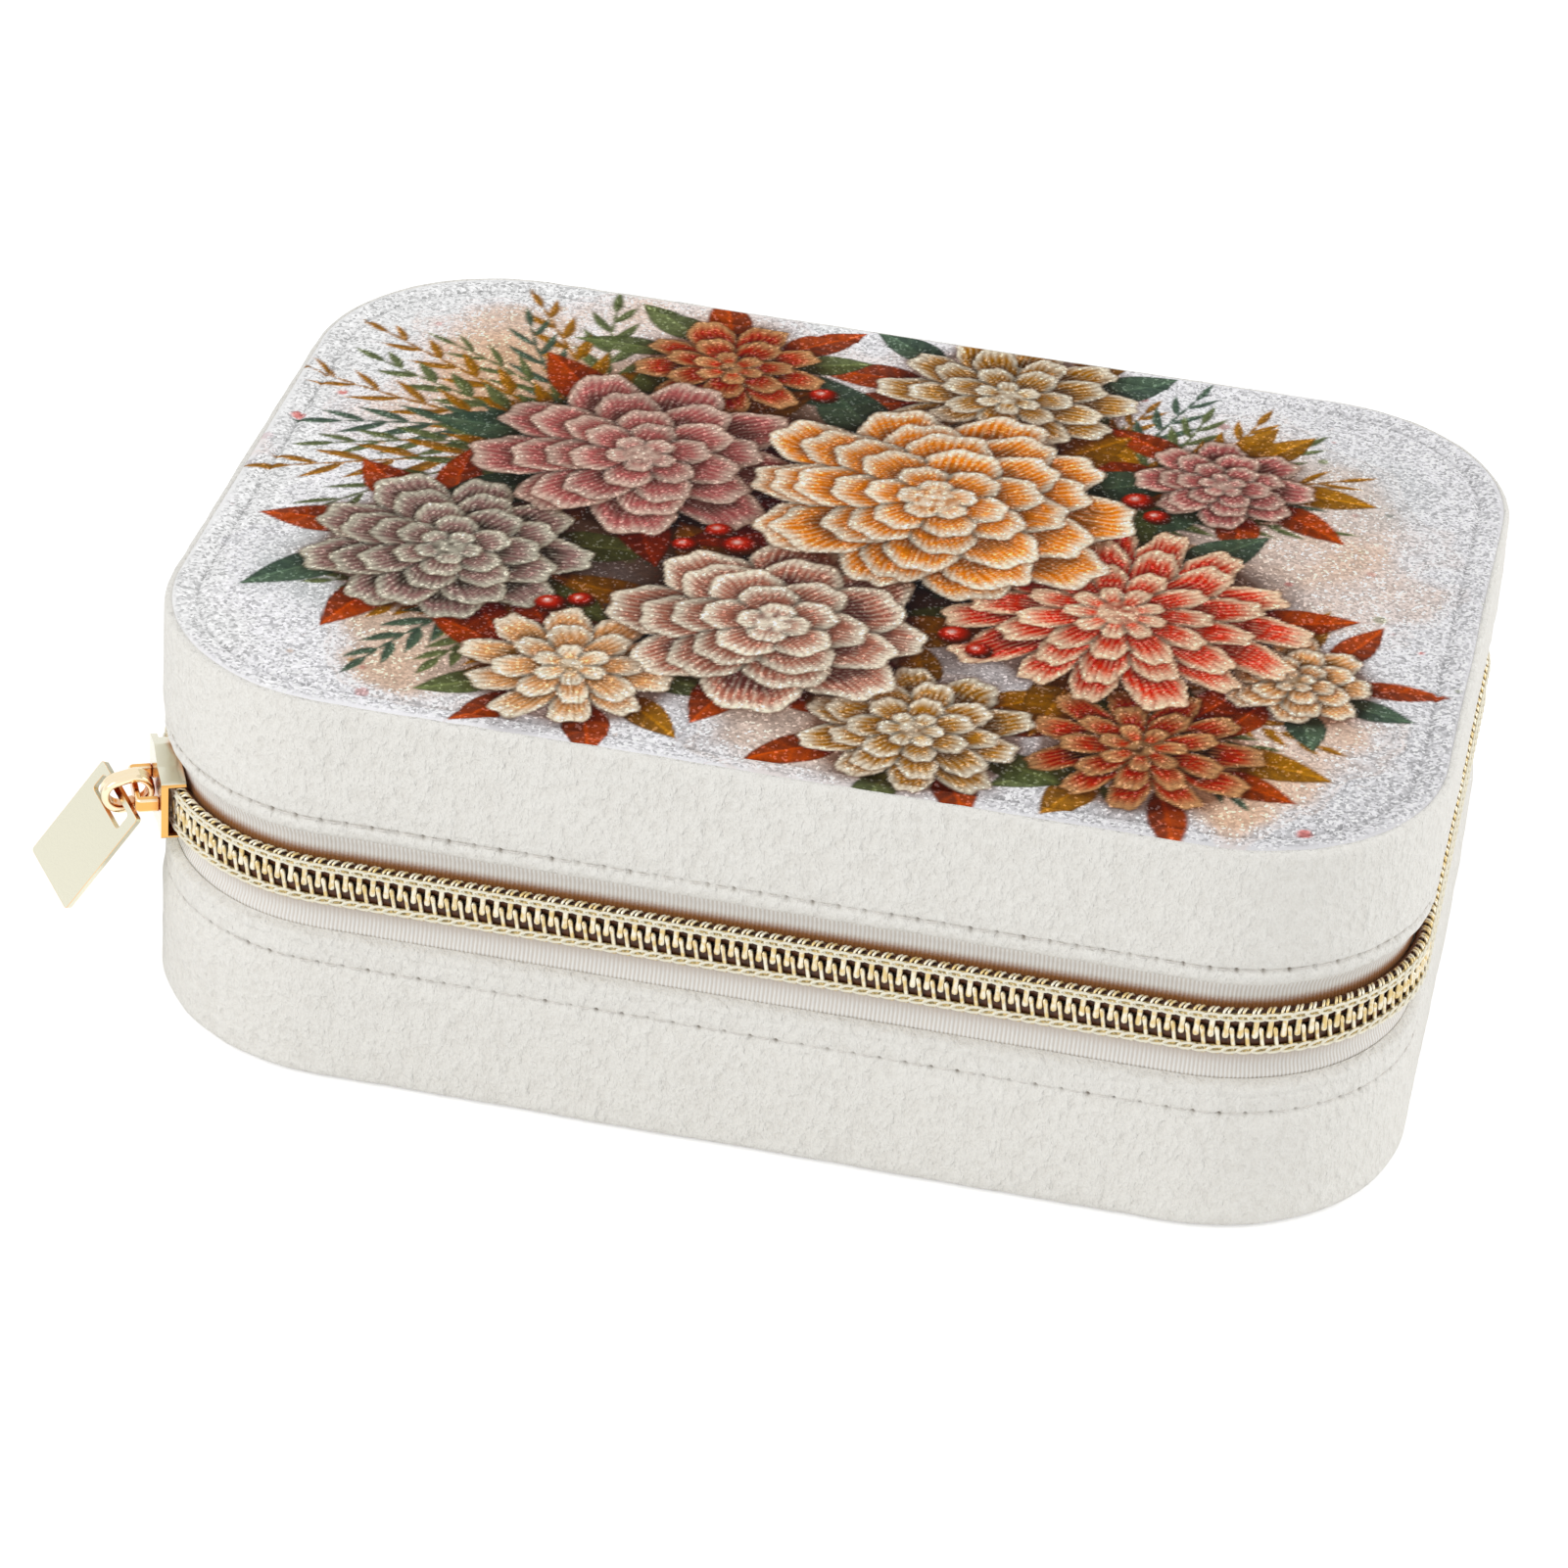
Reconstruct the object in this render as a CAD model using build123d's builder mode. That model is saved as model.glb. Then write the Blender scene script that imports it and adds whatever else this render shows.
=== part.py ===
from build123d import *
import math
import os

# A travel jewelry box: padded velvet over board, a zip round three sides and both back
# corners, a fabric hinge at the back, a lined tray with dividers and ring rolls, and a
# mirror in the lid. Millimetres. X runs along the front, Y to the back, Z up, and the
# origin is the middle of the underside.

# Overall size of the closed box
box_width = 164.0
box_depth = 120.0
box_height = 56.0
corner_radius = 27.0

# Layers of the wall, from the outside in
cover_thickness = 2.4
board_thickness = 2.0
lining_thickness = 1.2
lining_gap = 0.2

# Height of the zip, and how far the turned edges of the padded covers keep off it
zip_height = 29.8
base_edge_drop = 7.7
lid_edge_rise = 6.4
cover_edge_radius = 0.8
bottom_edge_radius = 2.0

# Panels above and below
bottom_panel_thickness = 2.0
top_panel_thickness = 1.8
top_edge_radius = 1.3
foam_pad_thickness = 2.4
seam_inset = 3.9
seam_width = 0.8
seam_depth = 0.35

# Tape of the zip and fabric of the hinge, both sewn between the covers and the board
tape_thickness = 0.5
tape_width = 11.0
tape_edge_gap = 1.1
tape_end_margin = 0.6
tape_end_gap = 0.2
hinge_fold_gap = 0.1

# Teeth of the zip
tooth_pitch = 1.77
tooth_width = 0.75
tooth_bar_length = 1.62
tooth_bar_height = 0.8
tooth_proud = 0.4
row_half_height = 3.4
tooth_overlap = 0.5
row_parting = 1.3
zip_end_angle = 60.0
zip_end_space = 0.6

# Stops at the ends of the rows
stop_length = 2.4
stop_clearance = 0.1

# Slider, with its channel a named clearance larger than the rows
slider_angle = 204.0
slider_length = 12.5
plate_thickness = 0.9
channel_clearance = 0.2
outer_plate_clearance = 0.25
inner_plate_clearance = 0.15
channel_wall = 0.6
nose_half_width = 4.4
slider_corner_radius = 0.7
flange_tape_clearance = 0.25
post_half_width = 0.6
post_setback = 0.3
post_straight = 2.2
post_taper = 1.3
parting_start = 0.8
parting_length = 4.0
flare_lead = 1.2
flare_length = 3.6

# Bridge on the slider, link through it and tag on the link
bridge_length = 9.2
bridge_width = 1.8
bridge_thickness = 0.8
bridge_leg = 1.2
link_wire = 1.1
link_radius = 2.0
link_reach = 1.9
link_tilt = 15.0
link_clearance = 0.1
tag_length = 17.2
tag_width = 10.5
tag_thickness = 0.8
tag_web = 0.9
tag_slot_width = 7.3
tag_slot_height = 2.7
tag_corner_radius = 0.5
tag_swing = 28.0
tag_skew = 19.9
tag_dip = 19.8

# Tray in the base, with its dividers and ring rolls
tray_lip_gap = 0.8
divider_thickness = 2.4
divider_height = 18.6
divider_clearance = 0.1
long_divider_x = 26.0
left_divider_y = 8.0
right_divider_y = 0.0
roll_count = 6
roll_gap = 0.4
roll_height = 11.2
roll_end_gap = 0.4
roll_waist = 0.5
bed_thickness = 2.0

# Mirror in the lid
mirror_width = 112.0
mirror_depth = 72.0
mirror_corner_radius = 12.0
mirror_thickness = 1.8
mirror_gap = 0.3
surround_width = 6.0
surround_thickness = 2.2

# Insets and heights that follow from the sizes above
base_cover_edge = zip_height - base_edge_drop
lid_cover_edge = zip_height + lid_edge_rise
board_inset = cover_thickness
lining_inset = cover_thickness + board_thickness + lining_gap
room_inset = lining_inset + lining_thickness
tape_inner_depth = cover_thickness
tape_depth = tape_inner_depth - tape_thickness
floor_height = bottom_panel_thickness + board_thickness
room_floor = floor_height + lining_gap + lining_thickness
lid_cover_top = box_height - top_panel_thickness
lid_board_top = lid_cover_top - foam_pad_thickness
ceiling_height = lid_board_top - board_thickness
room_ceiling = ceiling_height - lining_gap - lining_thickness
tray_lip = zip_height - tray_lip_gap / 2
lid_lip = zip_height + tray_lip_gap / 2
tape_bottom = zip_height - tape_edge_gap - tape_width
tape_top = zip_height + tape_edge_gap + tape_width
corner_x = box_width / 2 - corner_radius
corner_y = box_depth / 2 - corner_radius
tooth_inner_radius = corner_radius - tape_depth
tooth_outer_radius = corner_radius + tooth_proud
tooth_radius = (tooth_inner_radius + tooth_outer_radius) / 2
tooth_thickness = tooth_outer_radius - tooth_inner_radius
tape_end_angle = math.radians(zip_end_angle) + (stop_length + tape_end_margin) / tooth_radius
tape_end_y = corner_y + tooth_inner_radius * math.sin(tape_end_angle)
far = 2 * box_width


def footprint(inset, mode=Mode.ADD):
    """The rounded outline of the box, drawn in by an inset."""
    RectangleRounded(box_width - 2 * inset, box_depth - 2 * inset, corner_radius - inset, mode=mode)


def band(outer_inset, inner_inset):
    """The ring between two insets of the outline."""
    footprint(outer_inset)
    footprint(inner_inset, Mode.SUBTRACT)


def front_of(y, mode):
    """All that lies in front of a line across the box."""
    with Locations((0, y - far / 2)):
        Rectangle(far, far, mode=mode)


def lowest(part):
    """Outer edges of the bottom face, which get the cover's rounding."""
    return part.faces().sort_by(Axis.Z)[0].outer_wire().edges()


def highest(part):
    """Outer edges of the top face."""
    return part.faces().sort_by(Axis.Z)[-1].outer_wire().edges()


os.makedirs("parts", exist_ok=True)

# Base: bottom panel, padded cover, board shell and lined tray
with BuildPart() as base_bottom_panel:
    with BuildSketch():
        footprint(board_inset)
    extrude(amount=bottom_panel_thickness)
base_bottom_panel.part.label = "base_bottom_panel"
export_step(base_bottom_panel.part, "parts/base_bottom_panel.step")

with BuildPart() as base_wall_cover:
    with BuildSketch():
        band(0, board_inset)
    extrude(amount=base_cover_edge)
    fillet(lowest(base_wall_cover.part), radius=bottom_edge_radius)
    fillet(highest(base_wall_cover.part), radius=cover_edge_radius)
    with BuildSketch(Plane.XY.offset(tape_bottom)):
        band(tape_depth, tape_inner_depth)
    extrude(amount=base_cover_edge - tape_bottom, mode=Mode.SUBTRACT)
base_wall_cover.part.label = "base_wall_cover"
export_step(base_wall_cover.part, "parts/base_wall_cover.step")

with BuildPart() as base_shell:
    with BuildSketch(Plane.XY.offset(bottom_panel_thickness)):
        footprint(board_inset)
    extrude(amount=base_cover_edge - bottom_panel_thickness)
    with BuildSketch(Plane.XY.offset(floor_height)):
        footprint(board_inset + board_thickness)
    extrude(amount=base_cover_edge - floor_height, mode=Mode.SUBTRACT)
base_shell.part.label = "base_shell"
export_step(base_shell.part, "parts/base_shell.step")

with BuildPart() as base_lining:
    with BuildSketch(Plane.XY.offset(floor_height + lining_gap)):
        footprint(lining_inset)
    extrude(amount=tray_lip - floor_height - lining_gap)
    with BuildSketch(Plane.XY.offset(room_floor)):
        footprint(room_inset)
    extrude(amount=tray_lip - room_floor, mode=Mode.SUBTRACT)
base_lining.part.label = "base_lining"
export_step(base_lining.part, "parts/base_lining.step")

# Lid: padded cover, board shell, foam pad, top panel and lining
with BuildPart() as lid_wall_cover:
    with BuildSketch(Plane.XY.offset(lid_cover_edge)):
        band(0, board_inset)
    extrude(amount=lid_cover_top - lid_cover_edge)
    fillet(lowest(lid_wall_cover.part), radius=cover_edge_radius)
    with BuildSketch(Plane.XY.offset(lid_cover_edge)):
        band(tape_depth, tape_inner_depth)
    extrude(amount=tape_top - lid_cover_edge, mode=Mode.SUBTRACT)
lid_wall_cover.part.label = "lid_wall_cover"
export_step(lid_wall_cover.part, "parts/lid_wall_cover.step")

with BuildPart() as lid_shell:
    with BuildSketch(Plane.XY.offset(lid_cover_edge)):
        footprint(board_inset)
    extrude(amount=lid_board_top - lid_cover_edge)
    with BuildSketch(Plane.XY.offset(lid_cover_edge)):
        footprint(board_inset + board_thickness)
    extrude(amount=ceiling_height - lid_cover_edge, mode=Mode.SUBTRACT)
lid_shell.part.label = "lid_shell"
export_step(lid_shell.part, "parts/lid_shell.step")

with BuildPart() as lid_foam_pad:
    with BuildSketch(Plane.XY.offset(lid_board_top)):
        footprint(board_inset)
    extrude(amount=foam_pad_thickness)
lid_foam_pad.part.label = "lid_foam_pad"
export_step(lid_foam_pad.part, "parts/lid_foam_pad.step")

with BuildPart() as lid_top_panel:
    with BuildSketch(Plane.XY.offset(lid_cover_top)):
        footprint(0)
    extrude(amount=top_panel_thickness)
    fillet(highest(lid_top_panel.part), radius=top_edge_radius)
    with BuildSketch(Plane.XY.offset(box_height)):
        band(seam_inset - seam_width / 2, seam_inset + seam_width / 2)
    extrude(amount=-seam_depth, mode=Mode.SUBTRACT)
lid_top_panel.part.label = "lid_top_panel"
export_step(lid_top_panel.part, "parts/lid_top_panel.step")

with BuildPart() as lid_lining:
    with BuildSketch(Plane.XY.offset(lid_lip)):
        footprint(lining_inset)
    extrude(amount=ceiling_height - lining_gap - lid_lip)
    with BuildSketch(Plane.XY.offset(lid_lip)):
        footprint(room_inset)
    extrude(amount=room_ceiling - lid_lip, mode=Mode.SUBTRACT)
lid_lining.part.label = "lid_lining"
export_step(lid_lining.part, "parts/lid_lining.step")

# Mirror and its surround, on the lid's ceiling
with BuildPart() as mirror:
    with BuildSketch(Plane.XY.offset(room_ceiling)):
        RectangleRounded(mirror_width, mirror_depth, mirror_corner_radius)
    extrude(amount=-mirror_thickness)
mirror.part.label = "mirror"
export_step(mirror.part, "parts/mirror.step")

with BuildPart() as mirror_surround:
    with BuildSketch(Plane.XY.offset(room_ceiling)):
        opening_width = mirror_width + 2 * mirror_gap
        opening_depth = mirror_depth + 2 * mirror_gap
        opening_radius = mirror_corner_radius + mirror_gap
        RectangleRounded(
            opening_width + 2 * surround_width,
            opening_depth + 2 * surround_width,
            opening_radius + surround_width,
        )
        RectangleRounded(opening_width, opening_depth, opening_radius, mode=Mode.SUBTRACT)
    extrude(amount=-surround_thickness)
mirror_surround.part.label = "mirror_surround"
export_step(mirror_surround.part, "parts/mirror_surround.step")

# Tapes of the zip: each runs from one back corner round the front to the other
with BuildPart() as base_zip_tape:
    with BuildSketch(Plane.XY.offset(tape_bottom)):
        band(tape_depth, tape_inner_depth)
        front_of(tape_end_y, Mode.INTERSECT)
    extrude(amount=tape_width)
base_zip_tape.part.label = "base_zip_tape"
export_step(base_zip_tape.part, "parts/base_zip_tape.step")

with BuildPart() as lid_zip_tape:
    with BuildSketch(Plane.XY.offset(zip_height + tape_edge_gap)):
        band(tape_depth, tape_inner_depth)
        front_of(tape_end_y, Mode.INTERSECT)
    extrude(amount=tape_width)
lid_zip_tape.part.label = "lid_zip_tape"
export_step(lid_zip_tape.part, "parts/lid_zip_tape.step")

# Hinge fabric: it fills the back between the ends of the tapes and folds at the zip's height
with BuildPart() as base_hinge_strip:
    with BuildSketch(Plane.XY.offset(tape_bottom)):
        band(tape_depth, tape_inner_depth)
        front_of(tape_end_y + tape_end_gap, Mode.SUBTRACT)
    extrude(amount=zip_height - hinge_fold_gap - tape_bottom)
base_hinge_strip.part.label = "base_hinge_strip"
export_step(base_hinge_strip.part, "parts/base_hinge_strip.step")

with BuildPart() as lid_hinge_strip:
    with BuildSketch(Plane.XY.offset(zip_height + hinge_fold_gap)):
        band(tape_depth, tape_inner_depth)
        front_of(tape_end_y + tape_end_gap, Mode.SUBTRACT)
    extrude(amount=tape_top - zip_height - hinge_fold_gap)
lid_hinge_strip.part.label = "lid_hinge_strip"
export_step(lid_hinge_strip.part, "parts/lid_hinge_strip.step")

# The zip's path at the teeth's middle: back corner, side, corner, front, corner, side, back
# corner. A run is its length and its turn in degrees, and it starts on the right.
side_run = box_depth - 2 * corner_radius
front_run = box_width - 2 * corner_radius
arc_run = tooth_radius * math.pi / 2
end_run = tooth_radius * math.radians(zip_end_angle)
zip_runs = [
    (end_run, zip_end_angle),
    (side_run, 0),
    (arc_run, 90),
    (front_run, 0),
    (arc_run, 90),
    (side_run, 0),
    (end_run, zip_end_angle),
]
zip_length = sum(length for length, turn in zip_runs)
slider_share = (270 - slider_angle) / 90
slider_station = end_run + side_run + arc_run + front_run + arc_run * slider_share


def zip_station(distance):
    """Place and heading on the zip's path, a distance along it from its closed end."""
    heading = -90 + zip_end_angle
    start = math.radians(zip_end_angle)
    x = corner_x + tooth_radius * math.cos(start)
    y = corner_y + tooth_radius * math.sin(start)
    for length, turn in zip_runs:
        step = min(distance, length)
        bend = turn * step / length
        half_turn = math.radians(bend / 2)
        chord = step if bend == 0 else 2 * tooth_radius * math.sin(half_turn)
        direction = math.radians(heading) - half_turn
        x += chord * math.cos(direction)
        y += chord * math.sin(direction)
        heading -= bend
        distance -= step
        if distance <= 0:
            break
    return x, y, heading


def parting(distance):
    """How far a row stands off its meshed place: nothing before the slider, all of it after."""
    share = (distance - slider_station + parting_start) / parting_length
    share = min(max(share, 0), 1)
    return row_parting * share * share * (3 - 2 * share)


def row_places(first, side):
    """The teeth of a row: side is 1 for the lid's row and -1 for the base's."""
    count = int((zip_length - first - zip_end_space) / tooth_pitch) + 1
    places = []
    for number in range(count):
        distance = first + number * tooth_pitch
        x, y, heading = zip_station(distance)
        z = zip_height + side * parting(distance)
        places.append(Location((x, y, z), (0, 0, heading)))
    return places


def row_of_teeth(first, side):
    """Each tooth is a leg across the middle under a bar along the edge of its row."""
    leg_height = row_half_height + tooth_overlap - tooth_bar_height
    leg_middle = side * (leg_height / 2 - tooth_overlap)
    bar_middle = side * (row_half_height - tooth_bar_height / 2)
    leg = Pos(0, 0, leg_middle) * Box(tooth_width, tooth_thickness, leg_height)
    bar = Pos(0, 0, bar_middle) * Box(tooth_bar_length, tooth_thickness, tooth_bar_height)
    tooth = leg + bar
    return Compound(children=[place * tooth for place in row_places(first, side)])


base_row_start = zip_end_space + tooth_bar_length / 2
base_zip_teeth = row_of_teeth(base_row_start, -1)
base_zip_teeth.label = "base_zip_teeth"
export_step(base_zip_teeth, "parts/base_zip_teeth.step")

lid_row_start = base_row_start + tooth_pitch / 2
lid_zip_teeth = row_of_teeth(lid_row_start, 1)
lid_zip_teeth.label = "lid_zip_teeth"
export_step(lid_zip_teeth, "parts/lid_zip_teeth.step")

# Stops, one at each end of each row, on the outer face of the tapes
stop_height = row_half_height - stop_clearance


def row_of_stops(side):
    """A stop beyond the first and the last tooth of a row."""
    middle = side * (row_half_height + stop_clearance) / 2
    block = Box(stop_length, tooth_thickness, stop_height)
    x, y, heading = zip_station(0)
    back_off = stop_length / 2
    first = Location((x, y, zip_height + middle), (0, 0, heading)) * Pos(-back_off, 0, 0)
    x, y, heading = zip_station(zip_length)
    last = Location((x, y, zip_height + middle), (0, 0, heading)) * Pos(back_off, 0, 0)
    return Compound(children=[first * block, last * block])


base_zip_stops = row_of_stops(-1)
base_zip_stops.label = "base_zip_stops"
export_step(base_zip_stops, "parts/base_zip_stops.step")

lid_zip_stops = row_of_stops(1)
lid_zip_stops.label = "lid_zip_stops"
export_step(lid_zip_stops, "parts/lid_zip_stops.step")

# The slider stands on the front left corner. Its own directions are out from the wall,
# along the zip towards the front, and up.
slider_turn = math.radians(slider_angle)
outward = Vector(math.cos(slider_turn), math.sin(slider_turn), 0)
forward = Vector(-math.sin(slider_turn), math.cos(slider_turn), 0)
upward = Vector(0, 0, 1)
slider_axis = Vector(-corner_x, -corner_y, zip_height)
half_length = slider_length / 2
outer_plate_radius = tooth_outer_radius + outer_plate_clearance
plate_face_radius = outer_plate_radius + plate_thickness
tape_back_radius = corner_radius - tape_inner_depth
inner_plate_radius = math.sqrt(tape_back_radius**2 - half_length**2) - inner_plate_clearance
flange_radius = corner_radius - tape_depth + flange_tape_clearance
closed_half = row_half_height + channel_clearance
open_half = closed_half + row_parting
flare_start = parting_start + flare_lead
flare_end = flare_start - flare_length


def slider_plane(radius):
    """A plane facing out at a distance from the corner's axis, X towards the front, Y up."""
    return Plane(origin=slider_axis + outward * radius, x_dir=forward, z_dir=outward)


def mirrored_outline(upper, mode=Mode.ADD):
    """A closed outline from its upper half, given from the front end to the nose end."""
    lower = [(x, -y) for x, y in reversed(upper)]
    Polygon(*upper, *lower, align=None, mode=mode)


def plate_outline():
    """Outline of the plates: narrow at the front end, widest at the shoulders."""
    mirrored_outline(
        [
            (half_length, closed_half + channel_wall),
            (flare_start, closed_half + channel_wall),
            (flare_end, open_half + channel_wall),
            (-half_length, nose_half_width),
        ]
    )
    fillet(vertices(), radius=slider_corner_radius)


def channel_outline(mode):
    """The channel between the flanges, open at both ends."""
    mirrored_outline(
        [
            (slider_length, closed_half),
            (flare_start, closed_half),
            (flare_end, open_half),
            (-slider_length, open_half),
        ],
        mode,
    )


with BuildPart() as slider_body:
    with BuildSketch(slider_plane(outer_plate_radius)):
        plate_outline()
    extrude(amount=plate_thickness)
    with BuildSketch(slider_plane(flange_radius)):
        plate_outline()
        channel_outline(Mode.SUBTRACT)
    extrude(amount=outer_plate_radius - flange_radius)
    with BuildSketch(slider_plane(inner_plate_radius)):
        plate_outline()
    extrude(amount=-plate_thickness)
    post_end = -half_length + post_setback
    with BuildSketch(slider_plane(inner_plate_radius)):
        mirrored_outline(
            [
                (post_end + post_straight + post_taper, 0.05),
                (post_end + post_straight, post_half_width),
                (post_end, post_half_width),
            ]
        )
    extrude(amount=outer_plate_radius - inner_plate_radius)
slider_body.part.label = "slider_body"
export_step(slider_body.part, "parts/slider_body.step")

# The bridge is an arch along the slider; the link turns about the middle of its bar
bridge_bar_radius = plate_face_radius + link_clearance + link_wire / 2 + link_radius
bridge_height = bridge_bar_radius + bridge_thickness / 2 - plate_face_radius
tunnel_height = bridge_height - bridge_thickness
bridge_plane = Plane(
    origin=slider_axis + outward * plate_face_radius,
    x_dir=forward,
    z_dir=-upward,
)
with BuildPart() as slider_bridge:
    with BuildSketch(bridge_plane):
        with Locations((0, bridge_height / 2)):
            Rectangle(bridge_length, bridge_height)
        fillet(vertices().group_by(Axis.Y)[-1], radius=bridge_thickness)
        with Locations((0, tunnel_height / 2)):
            Rectangle(bridge_length - 2 * bridge_leg, tunnel_height, mode=Mode.SUBTRACT)
    extrude(amount=bridge_width / 2, both=True)
slider_bridge.part.label = "slider_bridge"
export_step(slider_bridge.part, "parts/slider_bridge.step")

# The link is a ring of wire whose two ends are half circles, tipped down at its outer end
tilt = math.radians(link_tilt)
link_direction = outward * math.cos(tilt) - upward * math.sin(tilt)
link_centre = slider_axis + outward * bridge_bar_radius
link_plane = Plane(origin=link_centre, x_dir=link_direction, z_dir=-forward)
with BuildPart() as pull_link:
    with BuildLine(link_plane) as link_path:
        Line((0, link_radius), (link_reach, link_radius))
        CenterArc((link_reach, 0), link_radius, 90, -180)
        Line((link_reach, -link_radius), (0, -link_radius))
        CenterArc((0, 0), link_radius, 270, -180)
    with BuildSketch(Plane(origin=link_path.line @ 0, z_dir=link_direction)):
        Circle(link_wire / 2)
    sweep(path=link_path.line)
pull_link.part.label = "pull_link"
export_step(pull_link.part, "parts/pull_link.step")

# The tag hangs by the web above its slot, inside the outer end of the link. The web is
# turned out from the slider's line and dips to the front.
skew = math.radians(tag_skew)
dip = math.radians(tag_dip)
swing = math.radians(tag_swing)
level = forward * math.cos(skew) - outward * math.sin(skew)
web_direction = level * math.cos(dip) - upward * math.sin(dip)
hang = outward * math.sin(swing) - upward * math.cos(swing)
tag_down = (hang - web_direction * hang.dot(web_direction)).normalized()
web_centre = link_centre + link_direction * link_reach
tag_plane = Plane(origin=web_centre, x_dir=web_direction, z_dir=tag_down.cross(web_direction))
with BuildPart() as pull_tag:
    with BuildSketch(tag_plane):
        with Locations((0, (tag_web - tag_length) / 2)):
            RectangleRounded(tag_width, tag_length, tag_corner_radius)
        with Locations((0, -(tag_web + tag_slot_height) / 2)):
            RectangleRounded(tag_slot_width, tag_slot_height, tag_corner_radius, mode=Mode.SUBTRACT)
    extrude(amount=tag_thickness / 2, both=True)
pull_tag.part.label = "pull_tag"
export_step(pull_tag.part, "parts/pull_tag.step")

# Dividers of the tray
room_half_width = box_width / 2 - room_inset
room_half_depth = box_depth / 2 - room_inset
divider_middle = room_floor + divider_height / 2


def divider(name, length_x, length_y, x, y):
    """An upright board on the tray's floor, written under its name."""
    with BuildPart() as board:
        with BuildSketch(Plane.XY.offset(room_floor)):
            with Locations((x, y)):
                Rectangle(length_x, length_y)
        extrude(amount=divider_height)
    board.part.label = name
    export_step(board.part, f"parts/{name}.step")


long_divider_length = 2 * (room_half_depth - divider_clearance)
divider("divider_long", divider_thickness, long_divider_length, long_divider_x, 0)

left_end = -room_half_width + divider_clearance
left_stop = long_divider_x - divider_thickness / 2 - divider_clearance
left_middle = (left_end + left_stop) / 2
divider("divider_left", left_stop - left_end, divider_thickness, left_middle, left_divider_y)

right_start = long_divider_x + divider_thickness / 2 + divider_clearance
right_end = room_half_width - divider_clearance
right_middle = (right_start + right_end) / 2
divider("divider_right", right_end - right_start, divider_thickness, right_middle, right_divider_y)

# Ring rolls on a bed, in the front left of the tray
roll_back = left_divider_y - divider_thickness / 2 - roll_end_gap
roll_front = -room_half_depth + roll_end_gap
roll_pitch = (roll_back - roll_front + roll_gap) / roll_count
roll_width = roll_pitch - roll_gap
roll_right = long_divider_x - divider_thickness / 2 - roll_end_gap
roll_inset = room_inset + roll_end_gap
with BuildPart() as ring_roll_bed:
    with BuildSketch(Plane.XY.offset(room_floor)):
        footprint(roll_inset)
        with Locations(((roll_right - far) / 2, (roll_back - far) / 2)):
            Rectangle(roll_right + far, roll_back + far, mode=Mode.INTERSECT)
    extrude(amount=bed_thickness)
ring_roll_bed.part.label = "ring_roll_bed"
export_step(ring_roll_bed.part, "parts/ring_roll_bed.step")

for number in range(roll_count):
    middle = roll_front + number * roll_pitch + roll_width / 2
    half_width = roll_width / 2
    shoulder = roll_height - half_width
    roll_plane = Plane(
        origin=(-room_half_width, middle, room_floor + bed_thickness),
        x_dir=(0, 1, 0),
        z_dir=(1, 0, 0),
    )
    with BuildPart() as roll:
        with BuildSketch(roll_plane):
            with BuildLine():
                Line((half_width - roll_waist, 0), (half_width, shoulder))
                ThreePointArc((half_width, shoulder), (0, roll_height), (-half_width, shoulder))
                Line((-half_width, shoulder), (roll_waist - half_width, 0))
                Line((roll_waist - half_width, 0), (half_width - roll_waist, 0))
            make_face()
        extrude(amount=roll_right + room_half_width)
        with BuildSketch(Plane.XY.offset(room_floor)):
            footprint(roll_inset)
        extrude(amount=box_height, mode=Mode.INTERSECT)
    name = f"ring_roll_{number + 1}"
    roll.part.label = name
    export_step(roll.part, f"parts/{name}.step")
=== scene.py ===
import math

import bmesh
import bpy
import numpy as np
from mathutils import Matrix, Vector


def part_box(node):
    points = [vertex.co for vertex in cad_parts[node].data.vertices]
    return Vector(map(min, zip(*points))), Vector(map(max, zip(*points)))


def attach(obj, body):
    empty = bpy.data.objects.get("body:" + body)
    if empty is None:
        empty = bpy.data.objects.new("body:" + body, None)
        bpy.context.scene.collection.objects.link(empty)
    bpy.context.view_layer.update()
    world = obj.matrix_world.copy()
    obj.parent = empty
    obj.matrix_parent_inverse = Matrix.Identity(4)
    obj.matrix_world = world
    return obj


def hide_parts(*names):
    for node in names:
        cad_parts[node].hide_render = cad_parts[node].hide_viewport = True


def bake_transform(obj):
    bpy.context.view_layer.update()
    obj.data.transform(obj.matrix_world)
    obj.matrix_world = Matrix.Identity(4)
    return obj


bl_info = {
    "name": "Travel Jewelry Box",
    "version": (1, 0, 0),
    "blender": (4, 5, 0),
    "location": "View3D > Sidebar > Jewelry Box",
    "description": "Dresses the jewelry box in velvet, printed glitter cloth and a gold zip",
    "category": "Add Mesh",
}

MM = 0.001

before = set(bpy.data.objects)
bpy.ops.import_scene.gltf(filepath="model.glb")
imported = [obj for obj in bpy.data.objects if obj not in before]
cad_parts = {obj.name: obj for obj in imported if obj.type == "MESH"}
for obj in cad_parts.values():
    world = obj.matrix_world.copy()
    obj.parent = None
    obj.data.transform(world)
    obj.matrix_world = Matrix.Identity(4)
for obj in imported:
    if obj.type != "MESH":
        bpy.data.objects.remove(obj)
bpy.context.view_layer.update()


def low(node_name, axis):
    """Lowest coordinate of a CAD node along an axis, in millimetres."""
    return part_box(node_name)[0]["xyz".index(axis)] / MM


def high(node_name, axis):
    """Highest coordinate of a CAD node along an axis, in millimetres."""
    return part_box(node_name)[1]["xyz".index(axis)] / MM


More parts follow.
